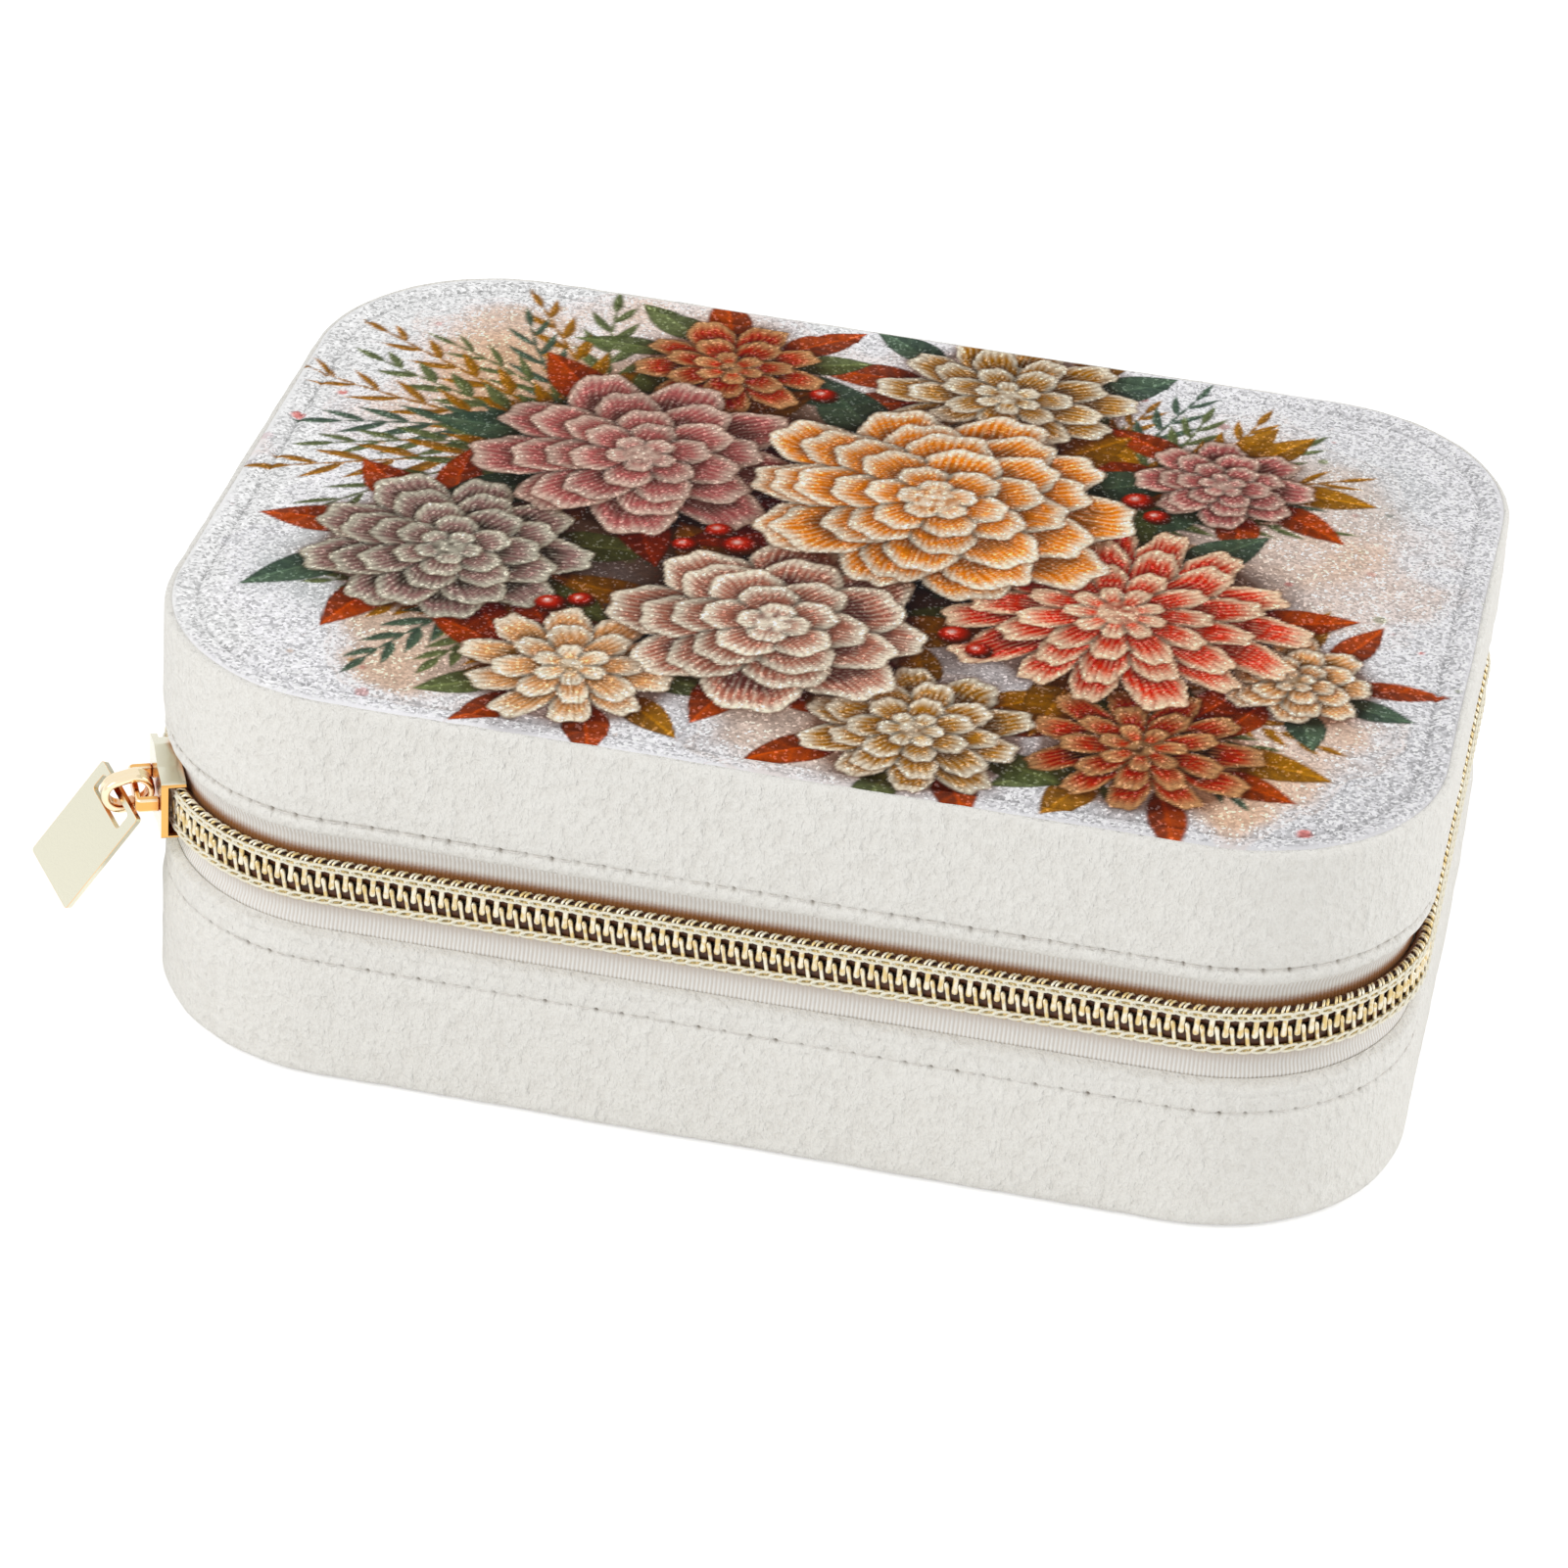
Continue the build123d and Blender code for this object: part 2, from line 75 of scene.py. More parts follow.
# Sizes that the packed solids give. Plain lengths, here and below, are in millimetres.
HALF_WIDTH = high("base_wall_cover", "x")
HALF_DEPTH = high("base_wall_cover", "y")
BASE_EDGE = high("base_wall_cover", "z")
LID_EDGE = low("lid_wall_cover", "z")
PANEL_BOTTOM = low("lid_top_panel", "z")
BOX_TOP = high("lid_top_panel", "z")
BOARD_INSET = HALF_WIDTH - high("base_shell", "x")
TAPE_BOTTOM = low("base_zip_tape", "z")
TAPE_TOP = high("lid_zip_tape", "z")
BASE_TAPE_EDGE = high("base_zip_tape", "z")
LID_TAPE_EDGE = low("lid_zip_tape", "z")
TAPE_INSET = HALF_WIDTH - high("base_zip_tape", "x")
TAPE_END_Y = high("base_zip_tape", "y")
ZIP_HEIGHT = (BASE_TAPE_EDGE + LID_TAPE_EDGE) / 2
TEETH_PROUD = high("base_zip_teeth", "x") - HALF_WIDTH

# Small distances between pieces, and thicknesses of cloth
SLOT_ROOM = 0.07
CLOTH_UNDER = 0.7
CLOTH_THICK = 0.2
TAPE_THICK = 0.42
HINGE_THICK = 0.46
HINGE_SPACE = 0.06

# Half the width of the hinge's bent part, and how far the chain stitch lies from the zip's middle
HINGE_BEND = 1.6
CHAIN_RISE = 2.36

# How finely the surfaces are divided. In each stitch's pitch the wall's columns crowd at its hole.
WALL_STEP = 0.32
STITCH_COLUMNS = np.array([-0.11, 0, 0.11, 0.34, 0.63])
CORD_STEP = 1.2
CORD_SIDES = 10
RIB_STEPS = 4
TAPE_ROWS = 25
HINGE_ROWS = 61
HINGE_COLUMNS = 260
LINK_STATIONS = 64
LINK_SIDES = 28
ROLL_RINGS = 72
ROLL_SIDES = 40
BLOTCH_GRID = 256

# Easing of a CAD surface: a weld's distance, flat and sharp angles in degrees, and steps round
WELD = 0.002
FLAT_ANGLE = 2
EDGE_ANGLE = 32
EDGE_STEPS = 3


# Sizes and colours that a user may change
def size(name, description, default):
    """A length property, given in millimetres."""
    return bpy.props.FloatProperty(
        name=name, description=description, default=default * MM, min=0, unit="LENGTH", precision=5
    )


def turn(name, description, default):
    """An angle property, given in degrees."""
    return bpy.props.FloatProperty(
        name=name, description=description, default=math.radians(default), unit="ROTATION"
    )


def amount(name, description, default):
    """A plain number property."""
    return bpy.props.FloatProperty(name=name, description=description, default=default, min=0)


def linear(channels):
    """Display values from 0 to 255 as scene light: the standard display curve undone."""
    part = np.asarray(channels, float) / 255
    return np.where(part <= 0.04045, part / 12.92, ((part + 0.055) / 1.055) ** 2.4)


def tint(name, description, *channels):
    """A colour property, given as it looks on screen from 0 to 255."""
    value = tuple(linear(channels))
    return bpy.props.FloatVectorProperty(
        name=name, description=description, default=value, size=3, min=0, max=1, subtype="COLOR"
    )


class JewelryBoxVelvet(bpy.types.PropertyGroup):
    """Padded velvet walls and their stitches."""

    corner_radius: size("Corner radius", "Radius of the box's upright corners", 27)
    bottom_radius: size("Bottom radius", "Rounding of the wall into the underside", 2)
    top_radius: size("Top radius", "Rounding of the wall into the top", 1.3)
    puff: size("Puff", "How far the padding stands out past the stitches", 0.35)
    base_stitch_drop: size("Base stitch drop", "From the base's edge down to its stitches", 4.5)
    base_fold_drop: size("Base fold drop", "From the base's edge down to the fold line", 1.8)
    lid_stitch_rise: size("Lid stitch rise", "From the lid's edge up to its stitches", 2.7)
    stitch_pitch: size("Stitch pitch", "From one stitch to the next", 3.3)
    stitch_length: size("Stitch length", "Length of the thread that shows", 2.5)
    velvet: tint("Velvet", "Colour of the nap in the light", 250, 248, 242)
    velvet_shade: tint("Velvet shade", "Colour of the nap brushed the other way", 241, 238, 231)
    # Painted shade in the needle holes, along the stitch groove and in the fold's crease
    mark: tint("Mark", "Colour in the needle's holes and along the seam", 140, 128, 114)
    thread: tint("Thread", "Colour of the sewing thread", 236, 232, 226)


class JewelryBoxPrint(bpy.types.PropertyGroup):
    """Printed glitter cloth on the lid."""

    seam_inset: size("Seam inset", "From the panel's edge to its seam", 3.9)
    crown: size("Crown", "How far the foam lifts the middle of the panel", 0.3)
    grain: size("Grain", "Size of one grain of glitter", 0.36)
    spacing: size("Spacing", "Distance between two painted points", 0.36)
    silver: tint("Silver", "Colour of the bare glitter", 250, 249, 252)
    coral: tint("Coral", "Deep petals", 216, 66, 42)
    amber: tint("Amber", "Warm petals", 238, 148, 54)
    peach: tint("Peach", "Light petals and washes", 238, 190, 148)
    cream: tint("Cream", "Tips of the petals", 255, 246, 228)
    mauve: tint("Mauve", "Cool petals", 182, 110, 108)
    ochre: tint("Ochre", "Seed heads and dry leaves", 182, 132, 64)
    brown: tint("Brown", "Depths between the petals", 80, 42, 28)
    sage: tint("Sage", "Light leaves", 128, 138, 98)
    teal: tint("Teal", "Cool leaves and washes", 78, 104, 96)


class JewelryBoxZip(bpy.types.PropertyGroup):
    """Gold coil zip, its tapes and its slider."""

    end_angle: turn("End angle", "Direction on the back corners where the rows end", 60)
    slider_angle: turn("Slider angle", "Direction on the front left corner of the slider", 204)
    pitch: size("Pitch", "From one tooth to the next", 1.77)
    first_tooth: size("First tooth", "From the end of the path to the base's first tooth", 1.41)
    last_space: size("Last space", "Least space after the last tooth", 0.6)
    parting: size("Parting", "How far a row stands off its meshed place when open", 1.3)
    parting_start: size("Parting start", "Where the rows part, before the slider's middle", 0.8)
    parting_length: size("Parting length", "Length over which the rows part", 4)
    rib_pitch: size("Rib pitch", "From one rib of the tape to the next", 0.55)
    rib_height: size("Rib height", "How far a rib stands out", 0.06)
    coil: tint("Coil", "Colour of the coil", 232, 204, 138)
    coil_light: tint("Coil light", "Pale side of the coil", 250, 243, 222)
    chain_thread: tint("Chain thread", "Colour of the thread that holds the coil", 250, 246, 226)
    # Painted shade where the teeth lie close
    coil_depth: tint("Coil depth", "Colour of the coil where teeth lie close", 96, 60, 26)
    # The filler cord is real; its dark brown is painted shade inside the coil's holes
    core: tint("Core", "Colour of the cord inside the coil", 92, 48, 20)
    # The tape's ribs: tops painted lighter as painted highlight, gaps darker as painted shade
    tape: tint("Tape", "Colour of the tape's ribs", 255, 254, 251)
    tape_rib: tint("Tape rib", "Colour between the ribs", 230, 223, 214)
    # Painted shade beside the coil: on the lower tape, and on the upper tape with a painted reflection
    # of the gold
    tape_shade: tint("Tape shade", "Colour of the lower tape beside the coil", 226, 214, 203)
    tape_depth: tint("Tape depth", "Colour of the upper tape beside the coil", 172, 110, 52)
    gold: tint("Gold", "Colour of the slider and its tag", 230, 227, 207)
    # Painted warm reflection on the metal's edges and the slider's ends, and painted shade all over the
    # bridge
    gold_warm: tint("Warm gold", "Colour of the bridge and the edges", 240, 184, 106)
    gold_ring: tint("Link gold", "Colour of the link", 250, 232, 198)
    link_width: size("Link width", "Width of the link's doubled band", 2.6)
    link_tilt: turn("Link tilt", "How far the link hangs down at rest", 15.0)
    # Painted shade: the gold takes this colour in its corners
    gold_depth: tint("Gold depth", "Colour of the gold in its corners", 204, 118, 36)


class JewelryBoxInside(bpy.types.PropertyGroup):
    """Lining, boards and mirror."""

    lining: tint("Lining", "Colour of the lining velvet", 226, 216, 202)
    lining_shade: tint("Lining shade", "Colour of the lining brushed the other way", 206, 194, 178)
    board: tint("Board", "Colour of the board", 196, 184, 166)
    foam: tint("Foam", "Colour of the foam", 240, 236, 222)
    glass: tint("Glass", "Colour of the mirror", 232, 236, 238)
    cushion_rounding: size("Cushion rounding", "Rounding of padded dividers and edges", 0.6)


class JewelryBoxStage(bpy.types.PropertyGroup):
    """Floor, light and camera."""

    azimuth: turn("Azimuth", "Camera's direction round the box, from the front", 9.753)
    elevation: turn("Elevation", "Camera's height above the horizon", 31.759)
    roll: turn("Roll", "Camera's turn about its own line of sight", 4.118)
    distance: size("Distance", "From the camera to its target", 778.5)
    target_x: bpy.props.FloatProperty(
        name="Target X", description="Target's place along the front", default=-7.18 * MM, unit="LENGTH"
    )
    target_z: size("Target Z", "Target's height", 17.57)
    lens: amount("Lens", "Focal length in millimetres on a 36 mm sensor", 133.42)
    sky: amount("Sky", "Strength of the even light from all round", 0.57)
    key: amount("Key", "Watts of the large lamp at the front left", 4.2)
    fill: amount("Fill", "Watts of the lamp at the right", 4.5)
    floor: tint("Floor", "Colour of the floor", 247, 247, 247)


GROUPS = {
    "jewelry_box_velvet": JewelryBoxVelvet,
    "jewelry_box_print": JewelryBoxPrint,
    "jewelry_box_zip": JewelryBoxZip,
    "jewelry_box_inside": JewelryBoxInside,
    "jewelry_box_stage": JewelryBoxStage,
}


def corner_radius():
    """Radius of the upright corners, in millimetres."""
    return bpy.context.scene.jewelry_box_velvet.corner_radius / MM


def corner_axes():
    """Distances of the corners' axes from the middle, along x and along y."""
    return HALF_WIDTH - corner_radius(), HALF_DEPTH - corner_radius()


# Numbers on arrays
def ease(value, start, end):
    """From 0 at one value to 1 at another, level at both ends."""
    part = np.clip((value - start) / (end - start), 0, 1)
    return part * part * (3 - 2 * part)


def ridge(distance, width, height=1):
    """A rounded ridge on a line: its height on the line, falling off as a bell on both sides."""
    return height * np.exp(-((distance / width) ** 2))


def swing(turns):
    """A cosine from 1 at each whole turn down to 0 half way to the next."""
    return 0.5 + 0.5 * np.cos(2 * np.pi * turns)


def whole_turn(count):
    """Angles from 0, spread evenly over a whole turn."""
    return np.arange(count) * 2 * np.pi / count


def towards(direction):
    """A step of length 1 in a level direction, given in radians."""
    return np.array([math.cos(direction), math.sin(direction)])


def squared_off(wave, power):
    """A sine or cosine to a power with its sign kept: powers below 1 square a circle off."""
    return np.sign(wave) * np.abs(wave) ** power


def blotches(x, y, size_x, size_y, seed, period=None):
    """A smooth random field from -1 to 1: random heights on a grid of that size, eased between
    its corners. A period is the length after which x comes round again."""
    heights = np.random.default_rng(seed).uniform(-1, 1, (BLOTCH_GRID, BLOTCH_GRID))
    around = BLOTCH_GRID
    if period:
        around = min(max(round(period / size_x), 1), BLOTCH_GRID)
        size_x = period / around
    u, v = x / size_x, y / size_y
    i, j = np.floor(u).astype(int), np.floor(v).astype(int)
    s, t = ease(u - i, 0, 1), ease(v - j, 0, 1)
    i_next, j_next = (i + 1) % around, (j + 1) % BLOTCH_GRID
    i, j = i % around, j % BLOTCH_GRID
    near = heights[i, j] * (1 - s) + heights[i_next, j] * s
    far = heights[i, j_next] * (1 - s) + heights[i_next, j_next] * s
    return near * (1 - t) + far * t


def clouds(x, y, extent, seed):
    """Blotches of four sizes added up, each half as large and half as strong as the last."""
    shares = 0.5 ** np.arange(4)
    total = 0
    for octave, share in enumerate(shares):
        total = total + share * blotches(x, y, extent * share, extent * share, seed + octave)
    return total / shares.sum()


def mixed(first, second, part):
    """A colour between two, for each part from 0 to 1."""
    return np.asarray(first) + (np.asarray(second) - np.asarray(first)) * part[:, None]


# Shapes: every surface is a grid of points from two parameters
def grid_faces(rows, columns, round_rows=False, round_columns=False):
    """Quads of a grid of points, joined round the ways that close on themselves."""
    i = np.arange(rows if round_rows else rows - 1)[:, None]
    j = np.arange(columns if round_columns else columns - 1)[None, :]
    i_next = (i + 1) % rows
    j_next = (j + 1) % columns
    corners = [i * columns + j, i * columns + j_next, i_next * columns + j_next, i_next * columns + j]
    return np.stack(np.broadcast_arrays(*corners), axis=-1).reshape(-1, 4)


def tube_faces(rings, sides):
    """Faces of a tube with flat ends, whose rings turn right-handed about its direction."""
    rim = np.arange(sides)
    ends = np.array([rim[::-1], (rings - 1) * sides + rim])
    return [grid_faces(rings, sides, round_columns=True), ends]


def swept(line, across, up, sides, ring=False):
    """A tube round a line: each station's ring is across times the cosine plus up times the
    sine, where across, up and the line's direction are right-handed. Flat ends close it."""
    angles = whole_turn(sides)
    line, across, up = (np.asarray(part, float)[:, None] for part in (line, across, up))
    points = line + across * np.cos(angles)[:, None] + up * np.sin(angles)[:, None]
    count = len(points)
    faces = [grid_faces(count, sides, True, True)] if ring else tube_faces(count, sides)
    return points.reshape(-1, 3), faces


def joined(*shapes):
    """Several shapes as one."""
    points, faces, offset = [], [], 0
    for shape_points, shape_faces in shapes:
        points.append(shape_points)
        faces.extend(group + offset for group in shape_faces)
        offset += len(shape_points)
    return np.concatenate(points), faces


def arc(centre, radius, first, last, count):
    """Points of a round stretch of a profile, from one angle in degrees to another."""
    direction = np.radians(np.linspace(first, last, count))
    return np.array(centre) + radius * np.stack([np.cos(direction), np.sin(direction)], axis=-1)


def straight(start, end, step):
    """Evenly spaced points of a straight stretch of a profile, without its last."""
    start, end = np.array(start, float), np.array(end, float)
    count = max(math.ceil(np.linalg.norm(end - start) / step), 1)
    return start + (np.arange(count) / count)[:, None] * (end - start)


def rim_distance(x, y):
    """Distance of a point inside the rounded outline from it."""
    axis_x, axis_y = corner_axes()
    past_x, past_y = np.abs(x) - axis_x, np.abs(y) - axis_y
    outside = np.hypot(np.clip(past_x, 0, None), np.clip(past_y, 0, None))
    return corner_radius() - outside - np.minimum(np.maximum(past_x, past_y), 0)


class Course:
    """A clockwise way round the box at a radius from the axes of its corners. It starts in one
    direction on the right back corner and ends in another on the left back corner, or goes all
    the way round. A point is the corner's axis, moved evenly along the straights, plus a radius
    in a direction that turns evenly round the corners."""

    def __init__(self, radius, first=90.0, last=-270.0):
        sides = [(1, 1), (1, 1), (1, -1), (1, -1), (-1, -1), (-1, -1), (-1, 1), (-1, 1)]
        directions = [first, 0, 0, -90, -90, -180, -180, last]
        self.closed = last <= -270
        if self.closed:
            sides.append((1, 1))
            directions.append(last)
        self.axes = np.array(sides) * corner_axes()
        self.directions = np.radians(directions)
        straights = np.linalg.norm(np.diff(self.axes, axis=0), axis=1)
        steps = radius * np.abs(np.diff(self.directions)) + straights
        self.runs = np.concatenate([[0], np.cumsum(steps)])
        self.length = self.runs[-1]
        self.radius = radius

    def points(self, run, out, height):
        """Points a run along the course, a distance out from it and at a height."""
        if self.closed:
            run = run % self.length
        direction = np.interp(run, self.runs, self.directions)
        reach = self.radius + out
        x = np.interp(run, self.runs, self.axes[:, 0]) + reach * np.cos(direction)
        y = np.interp(run, self.runs, self.axes[:, 1]) + reach * np.sin(direction)
        return np.stack(np.broadcast_arrays(x, y, height), axis=-1)


def repeated(course, runs, heights, shape, side=1):
    """Copies of a shape set along a course. The shape's own axes are along the course, out of
    the wall and away from the zip's middle. Side -1 turns each copy upside down."""
    points, faces = shape
    along, out, up = points.T
    placed = course.points(runs[:, None] + along, out, heights[:, None] + side * up)
    starts = (np.arange(len(runs)) * len(points))[:, None, None]
    copied = [(group[None, :, ::side] + starts).reshape(-1, group.shape[1]) for group in faces]
    return placed.reshape(-1, 3), copied


# Pieces
def new_object(name, data):
    """An object of the scene, from its mesh, lamp or camera."""
    made = bpy.data.objects.new(name, data)
    bpy.context.scene.collection.objects.link(made)
    return made


def make_piece(name, shape, material, body, replaced=()):
    """A piece from a shape, its points in millimetres and its arrays of faces, that rides on a
    body and takes the place of CAD nodes."""
    points, faces = shape
    mesh = bpy.data.meshes.new(name)
    counts = np.concatenate([np.full(len(group), group.shape[1]) for group in faces])
    corners = np.concatenate([group.ravel() for group in faces])
    mesh.vertices.add(len(points))
    mesh.vertices.foreach_set("co", (points * MM).astype(np.float32).ravel())
    mesh.loops.add(len(corners))
    mesh.loops.foreach_set("vertex_index", corners.astype(np.int32))
    mesh.polygons.add(len(counts))
    mesh.polygons.foreach_set("loop_start", (np.cumsum(counts) - counts).astype(np.int32))
    mesh.update(calc_edges=True)
    mesh.validate()
    mesh.materials.append(material)
    piece = new_object(name, mesh)
    if body:
        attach(piece, body)
    if replaced:
        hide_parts(*replaced)
    return piece


def set_layer(piece, name, values):
    """Gives each point a number, or a colour with its alpha, for the material to read."""
    kind, field = ("FLOAT", "value") if values.ndim == 1 else ("FLOAT_COLOR", "color")
    layer = piece.data.attributes.new(name, kind, "POINT")
    layer.data.foreach_set(field, values.astype(np.float32).ravel())


def eased_copy(name, node_name, width, finishes, body, ends=None):
    """A CAD node's surface as one merged mesh, with its edges rounded, in the node's place. The
    edges have the last finish, and so have the faces turned either way along a direction."""
    work = bmesh.new()
    work.from_mesh(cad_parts[node_name].data)
    bmesh.ops.remove_doubles(work, verts=work.verts, dist=WELD * MM)
    flat = math.radians(FLAT_ANGLE)
    bmesh.ops.dissolve_limit(work, angle_limit=flat, verts=work.verts, edges=work.edges)
    mesh = bpy.data.meshes.new(name)
    work.to_mesh(mesh)
    work.free()
    stale = mesh.attributes.get("custom_normal")
    if stale:
        mesh.attributes.remove(stale)
    mesh.materials.clear()
    for material in finishes:
        mesh.materials.append(material)
    if ends is not None:
        normals = np.empty(3 * len(mesh.polygons))
        mesh.polygons.foreach_get("normal", normals)
        turned = np.abs(normals.reshape(-1, 3) @ ends) > 0.8
        mesh.polygons.foreach_set("material_index", turned.astype(np.int32))
    mesh.shade_smooth()
    piece = new_object(name, mesh)
    bevel = piece.modifiers.new("rounded_edges", "BEVEL")
    bevel.width = width * MM
    bevel.segments = EDGE_STEPS
    bevel.limit_method = "ANGLE"
    bevel.angle_limit = math.radians(EDGE_ANGLE)
    bevel.harden_normals = True
    bevel.material = len(finishes) - 1
    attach(piece, body)
    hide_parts(node_name)


def dress(node_name, material):
    """Gives a CAD node its finish through its material slots."""
    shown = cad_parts[node_name]
    if not shown.material_slots:
        shown.data.materials.append(material)
    for slot in shown.material_slots:
        slot.material = material


# Shader nodes
def node(tree, kind, inputs=None, **settings):
    """A shader node with its settings, whose inputs are values or other nodes' outputs."""
    made = tree.nodes.new(kind)
    for name, value in settings.items():
        setattr(made, name, value)
    for name, value in (inputs or {}).items():
        if isinstance(value, bpy.types.NodeSocket):
            tree.links.new(value, made.inputs[name])
        else:
            made.inputs[name].default_value = value
    return made


def math_node(tree, operation, *values):
    """The result of a sum on numbers."""
    return node(tree, "ShaderNodeMath", dict(enumerate(values)), operation=operation).outputs[0]


def colour_math(tree, operation, *values):
    """The result of a sum on colours, channel by channel."""
    return node(tree, "ShaderNodeVectorMath", dict(enumerate(values)), operation=operation).outputs[0]


def stretched(tree, value, start, end):
    """A number from 0 to 1, carried evenly to a range from start to end."""
    return node(tree, "ShaderNodeMapRange", {"Value": value, "To Min": start, "To Max": end}).outputs[0]


def layer_node(tree, name, output="Fac"):
    """What a layer of the mesh says at each point."""
    return node(tree, "ShaderNodeAttribute", attribute_name=name).outputs[output]


def blended(tree, part, first, second):
    """Part of the way from one colour to another, each a colour or a node's output. The node's
    colours are its inputs 6 and 7 and its output 2."""
    inputs = {0: part}
    for socket, value in ((6, first), (7, second)):
        inputs[socket] = value if isinstance(value, bpy.types.NodeSocket) else (*value, 1)
    return node(tree, "ShaderNodeMix", inputs, data_type="RGBA").outputs[2]


def between(tree, factor, first, second, low_value=0.0, high_value=1.0):
    """A colour between two, eased as the factor goes from a low to a high value."""
    inputs = {"Value": factor, "From Min": low_value, "From Max": high_value}
    part = node(tree, "ShaderNodeMapRange", inputs, interpolation_type="SMOOTHSTEP")
    return blended(tree, part.outputs[0], first, second)


def object_noise(tree, feature, stretch=(1, 1, 1), detail=2.0, roughness=0.5):
    """Noise on the piece's own coordinates, with features of a size in millimetres."""
    coordinates = node(tree, "ShaderNodeTexCoord").outputs["Object"]
    scale = tuple(1 / (feature * MM * part) for part in stretch)
    mapping = node(tree, "ShaderNodeMapping", {"Vector": coordinates, "Scale": scale})
    inputs = {"Vector": mapping.outputs[0], "Scale": 1.0, "Detail": detail, "Roughness": roughness}
    return node(tree, "ShaderNodeTexNoise", inputs).outputs["Fac"]


def openness(tree, distance, samples):
    """How open a point lies, from 0 in a corner to 1, felt for over a distance."""
    inputs = {"Distance": distance * MM}
    return node(tree, "ShaderNodeAmbientOcclusion", inputs, samples=samples).outputs["AO"]


def bump(tree, height, depth, strength=1.0, normal=None):
    """A bump whose full height is a depth in millimetres."""
    inputs = {"Height": height, "Distance": depth * MM, "Strength": strength}
    if normal is not None:
        inputs["Normal"] = normal
    return node(tree, "ShaderNodeBump", inputs).outputs[0]


def dimmed(colour, part):
    """A colour at part of its strength."""
    return tuple(part * channel for channel in colour)


# Materials
SOCKETS = {
    "metallic": "Metallic",
    "roughness": "Roughness",
    "specular": "Specular IOR Level",
    "sheen": "Sheen Weight",
    "sheen_roughness": "Sheen Roughness",
}


def new_material(name, **values):
    """A material with one Principled shader, and constant values set on its sockets."""
    material = bpy.data.materials.new(name)
    material.use_nodes = True
    tree = material.node_tree
    shader = next(made for made in tree.nodes if made.type == "BSDF_PRINCIPLED")
    for socket, value in values.items():
        shader.inputs[SOCKETS[socket]].default_value = value
    return material, tree, shader


def join_shader(tree, shader, colour, normal=None):
    """Joins the last colour, and the last bump if there is one, to the shader."""
    tree.links.new(colour, shader.inputs["Base Color"])
    if normal is not None:
        tree.links.new(normal, shader.inputs["Normal"])


def velvet_material(name, light, shade, mark):
    """Short nap: soft streaks a little taller than wide between two near colours, a fine grain
    and a faint sheen. Painted shade darkens it in the needle holes, along the stitch groove
    and in the fold's crease."""
    material, tree, shader = new_material(
        name, roughness=0.95, specular=0.15, sheen=0.2, sheen_roughness=0.45
    )
    streaks = object_noise(tree, 1.15, stretch=(1, 1, 1.4), detail=3.0, roughness=0.55)
    nap = object_noise(tree, 0.3, stretch=(1, 1, 1.5), detail=2.0, roughness=0.6)
    base = between(tree, streaks, shade, light, 0.32, 0.6)
    grain = between(tree, nap, dimmed(shade, 0.95), light, 0.3, 0.62)
    cloth = blended(tree, 0.4, base, grain)
    with_sewing_shade = between(tree, layer_node(tree, "mark"), cloth, mark)
    relief = bump(tree, streaks, depth=0.7)
    join_shader(tree, shader, with_sewing_shade, bump(tree, nap, depth=0.12, strength=0.9, normal=relief))
    return material


def glitter_material(name, grain):
    """Printed glitter cloth: the printed colour, lighter or darker from grain to grain, with
    grains painted brighter as painted glints, more of them where the cloth is bare. Each grain
    is tilted."""
    darkest, lightest = -0.5, 0.22
    seldom, often = 0.97, 0.80
    gain, lift, brightest = 1.7, 0.06, 0.97
    material, tree, shader = new_material(name, roughness=0.55, specular=0.02)
    painted = layer_node(tree, "print", "Color")
    bare = layer_node(tree, "glitter")
    coordinates = node(tree, "ShaderNodeTexCoord").outputs["Object"]
    inputs = {"Vector": coordinates, "Scale": 1 / (grain * MM)}
    cells = node(tree, "ShaderNodeTexVoronoi", inputs).outputs["Color"]
    tone, chance, tilt = node(tree, "ShaderNodeSeparateColor", {"Color": cells}).outputs
    level = stretched(tree, tone, darkest, lightest)
    strength = math_node(tree, "ADD", math_node(tree, "MULTIPLY", level, bare), 1.0)
    inputs = {0: painted, "Scale": strength}
    shaded = node(tree, "ShaderNodeVectorMath", inputs, operation="SCALE").outputs[0]
    # Painted glint: chosen grains get a brighter copy of their colour
    brighter = colour_math(tree, "MULTIPLY_ADD", shaded, (gain,) * 3, (lift,) * 3)
    painted_glint = colour_math(tree, "MINIMUM", brighter, (brightest,) * 3)
    painted_glint_mask = math_node(tree, "GREATER_THAN", chance, stretched(tree, bare, seldom, often))
    raised = math_node(tree, "MULTIPLY", tilt, bare)
    normal = bump(tree, raised, depth=0.08, strength=0.5)
    join_shader(tree, shader, blended(tree, painted_glint_mask, shaded, painted_glint), normal)
    return material


def plated_material(name, light, depth, roughness=0.2):
    """Polished plating: pale on open faces, with painted shade that deepens it in the corners, and
    a faint grain.
    """
    material, tree, shader = new_material(name, metallic=1.0, roughness=roughness)
    colour = between(tree, openness(tree, 1.8, samples=8), depth, light, 0.3, 0.9)
    grain = object_noise(tree, 0.5, detail=3.0)
    join_shader(tree, shader, colour, bump(tree, grain, depth=0.02, strength=0.25))
    return material


def coil_material(name, light, warm, deep):
    """Gold-faced coil: warm and pale patches along each tooth, and painted shade where teeth lie
    close.
    """
    material, tree, shader = new_material(name, metallic=0.45, roughness=0.3)
    tone = between(tree, object_noise(tree, 0.9), warm, light, 0.35, 0.62)
    join_shader(tree, shader, between(tree, openness(tree, 0.7, samples=6), deep, tone, 0.2, 0.62))
    return material


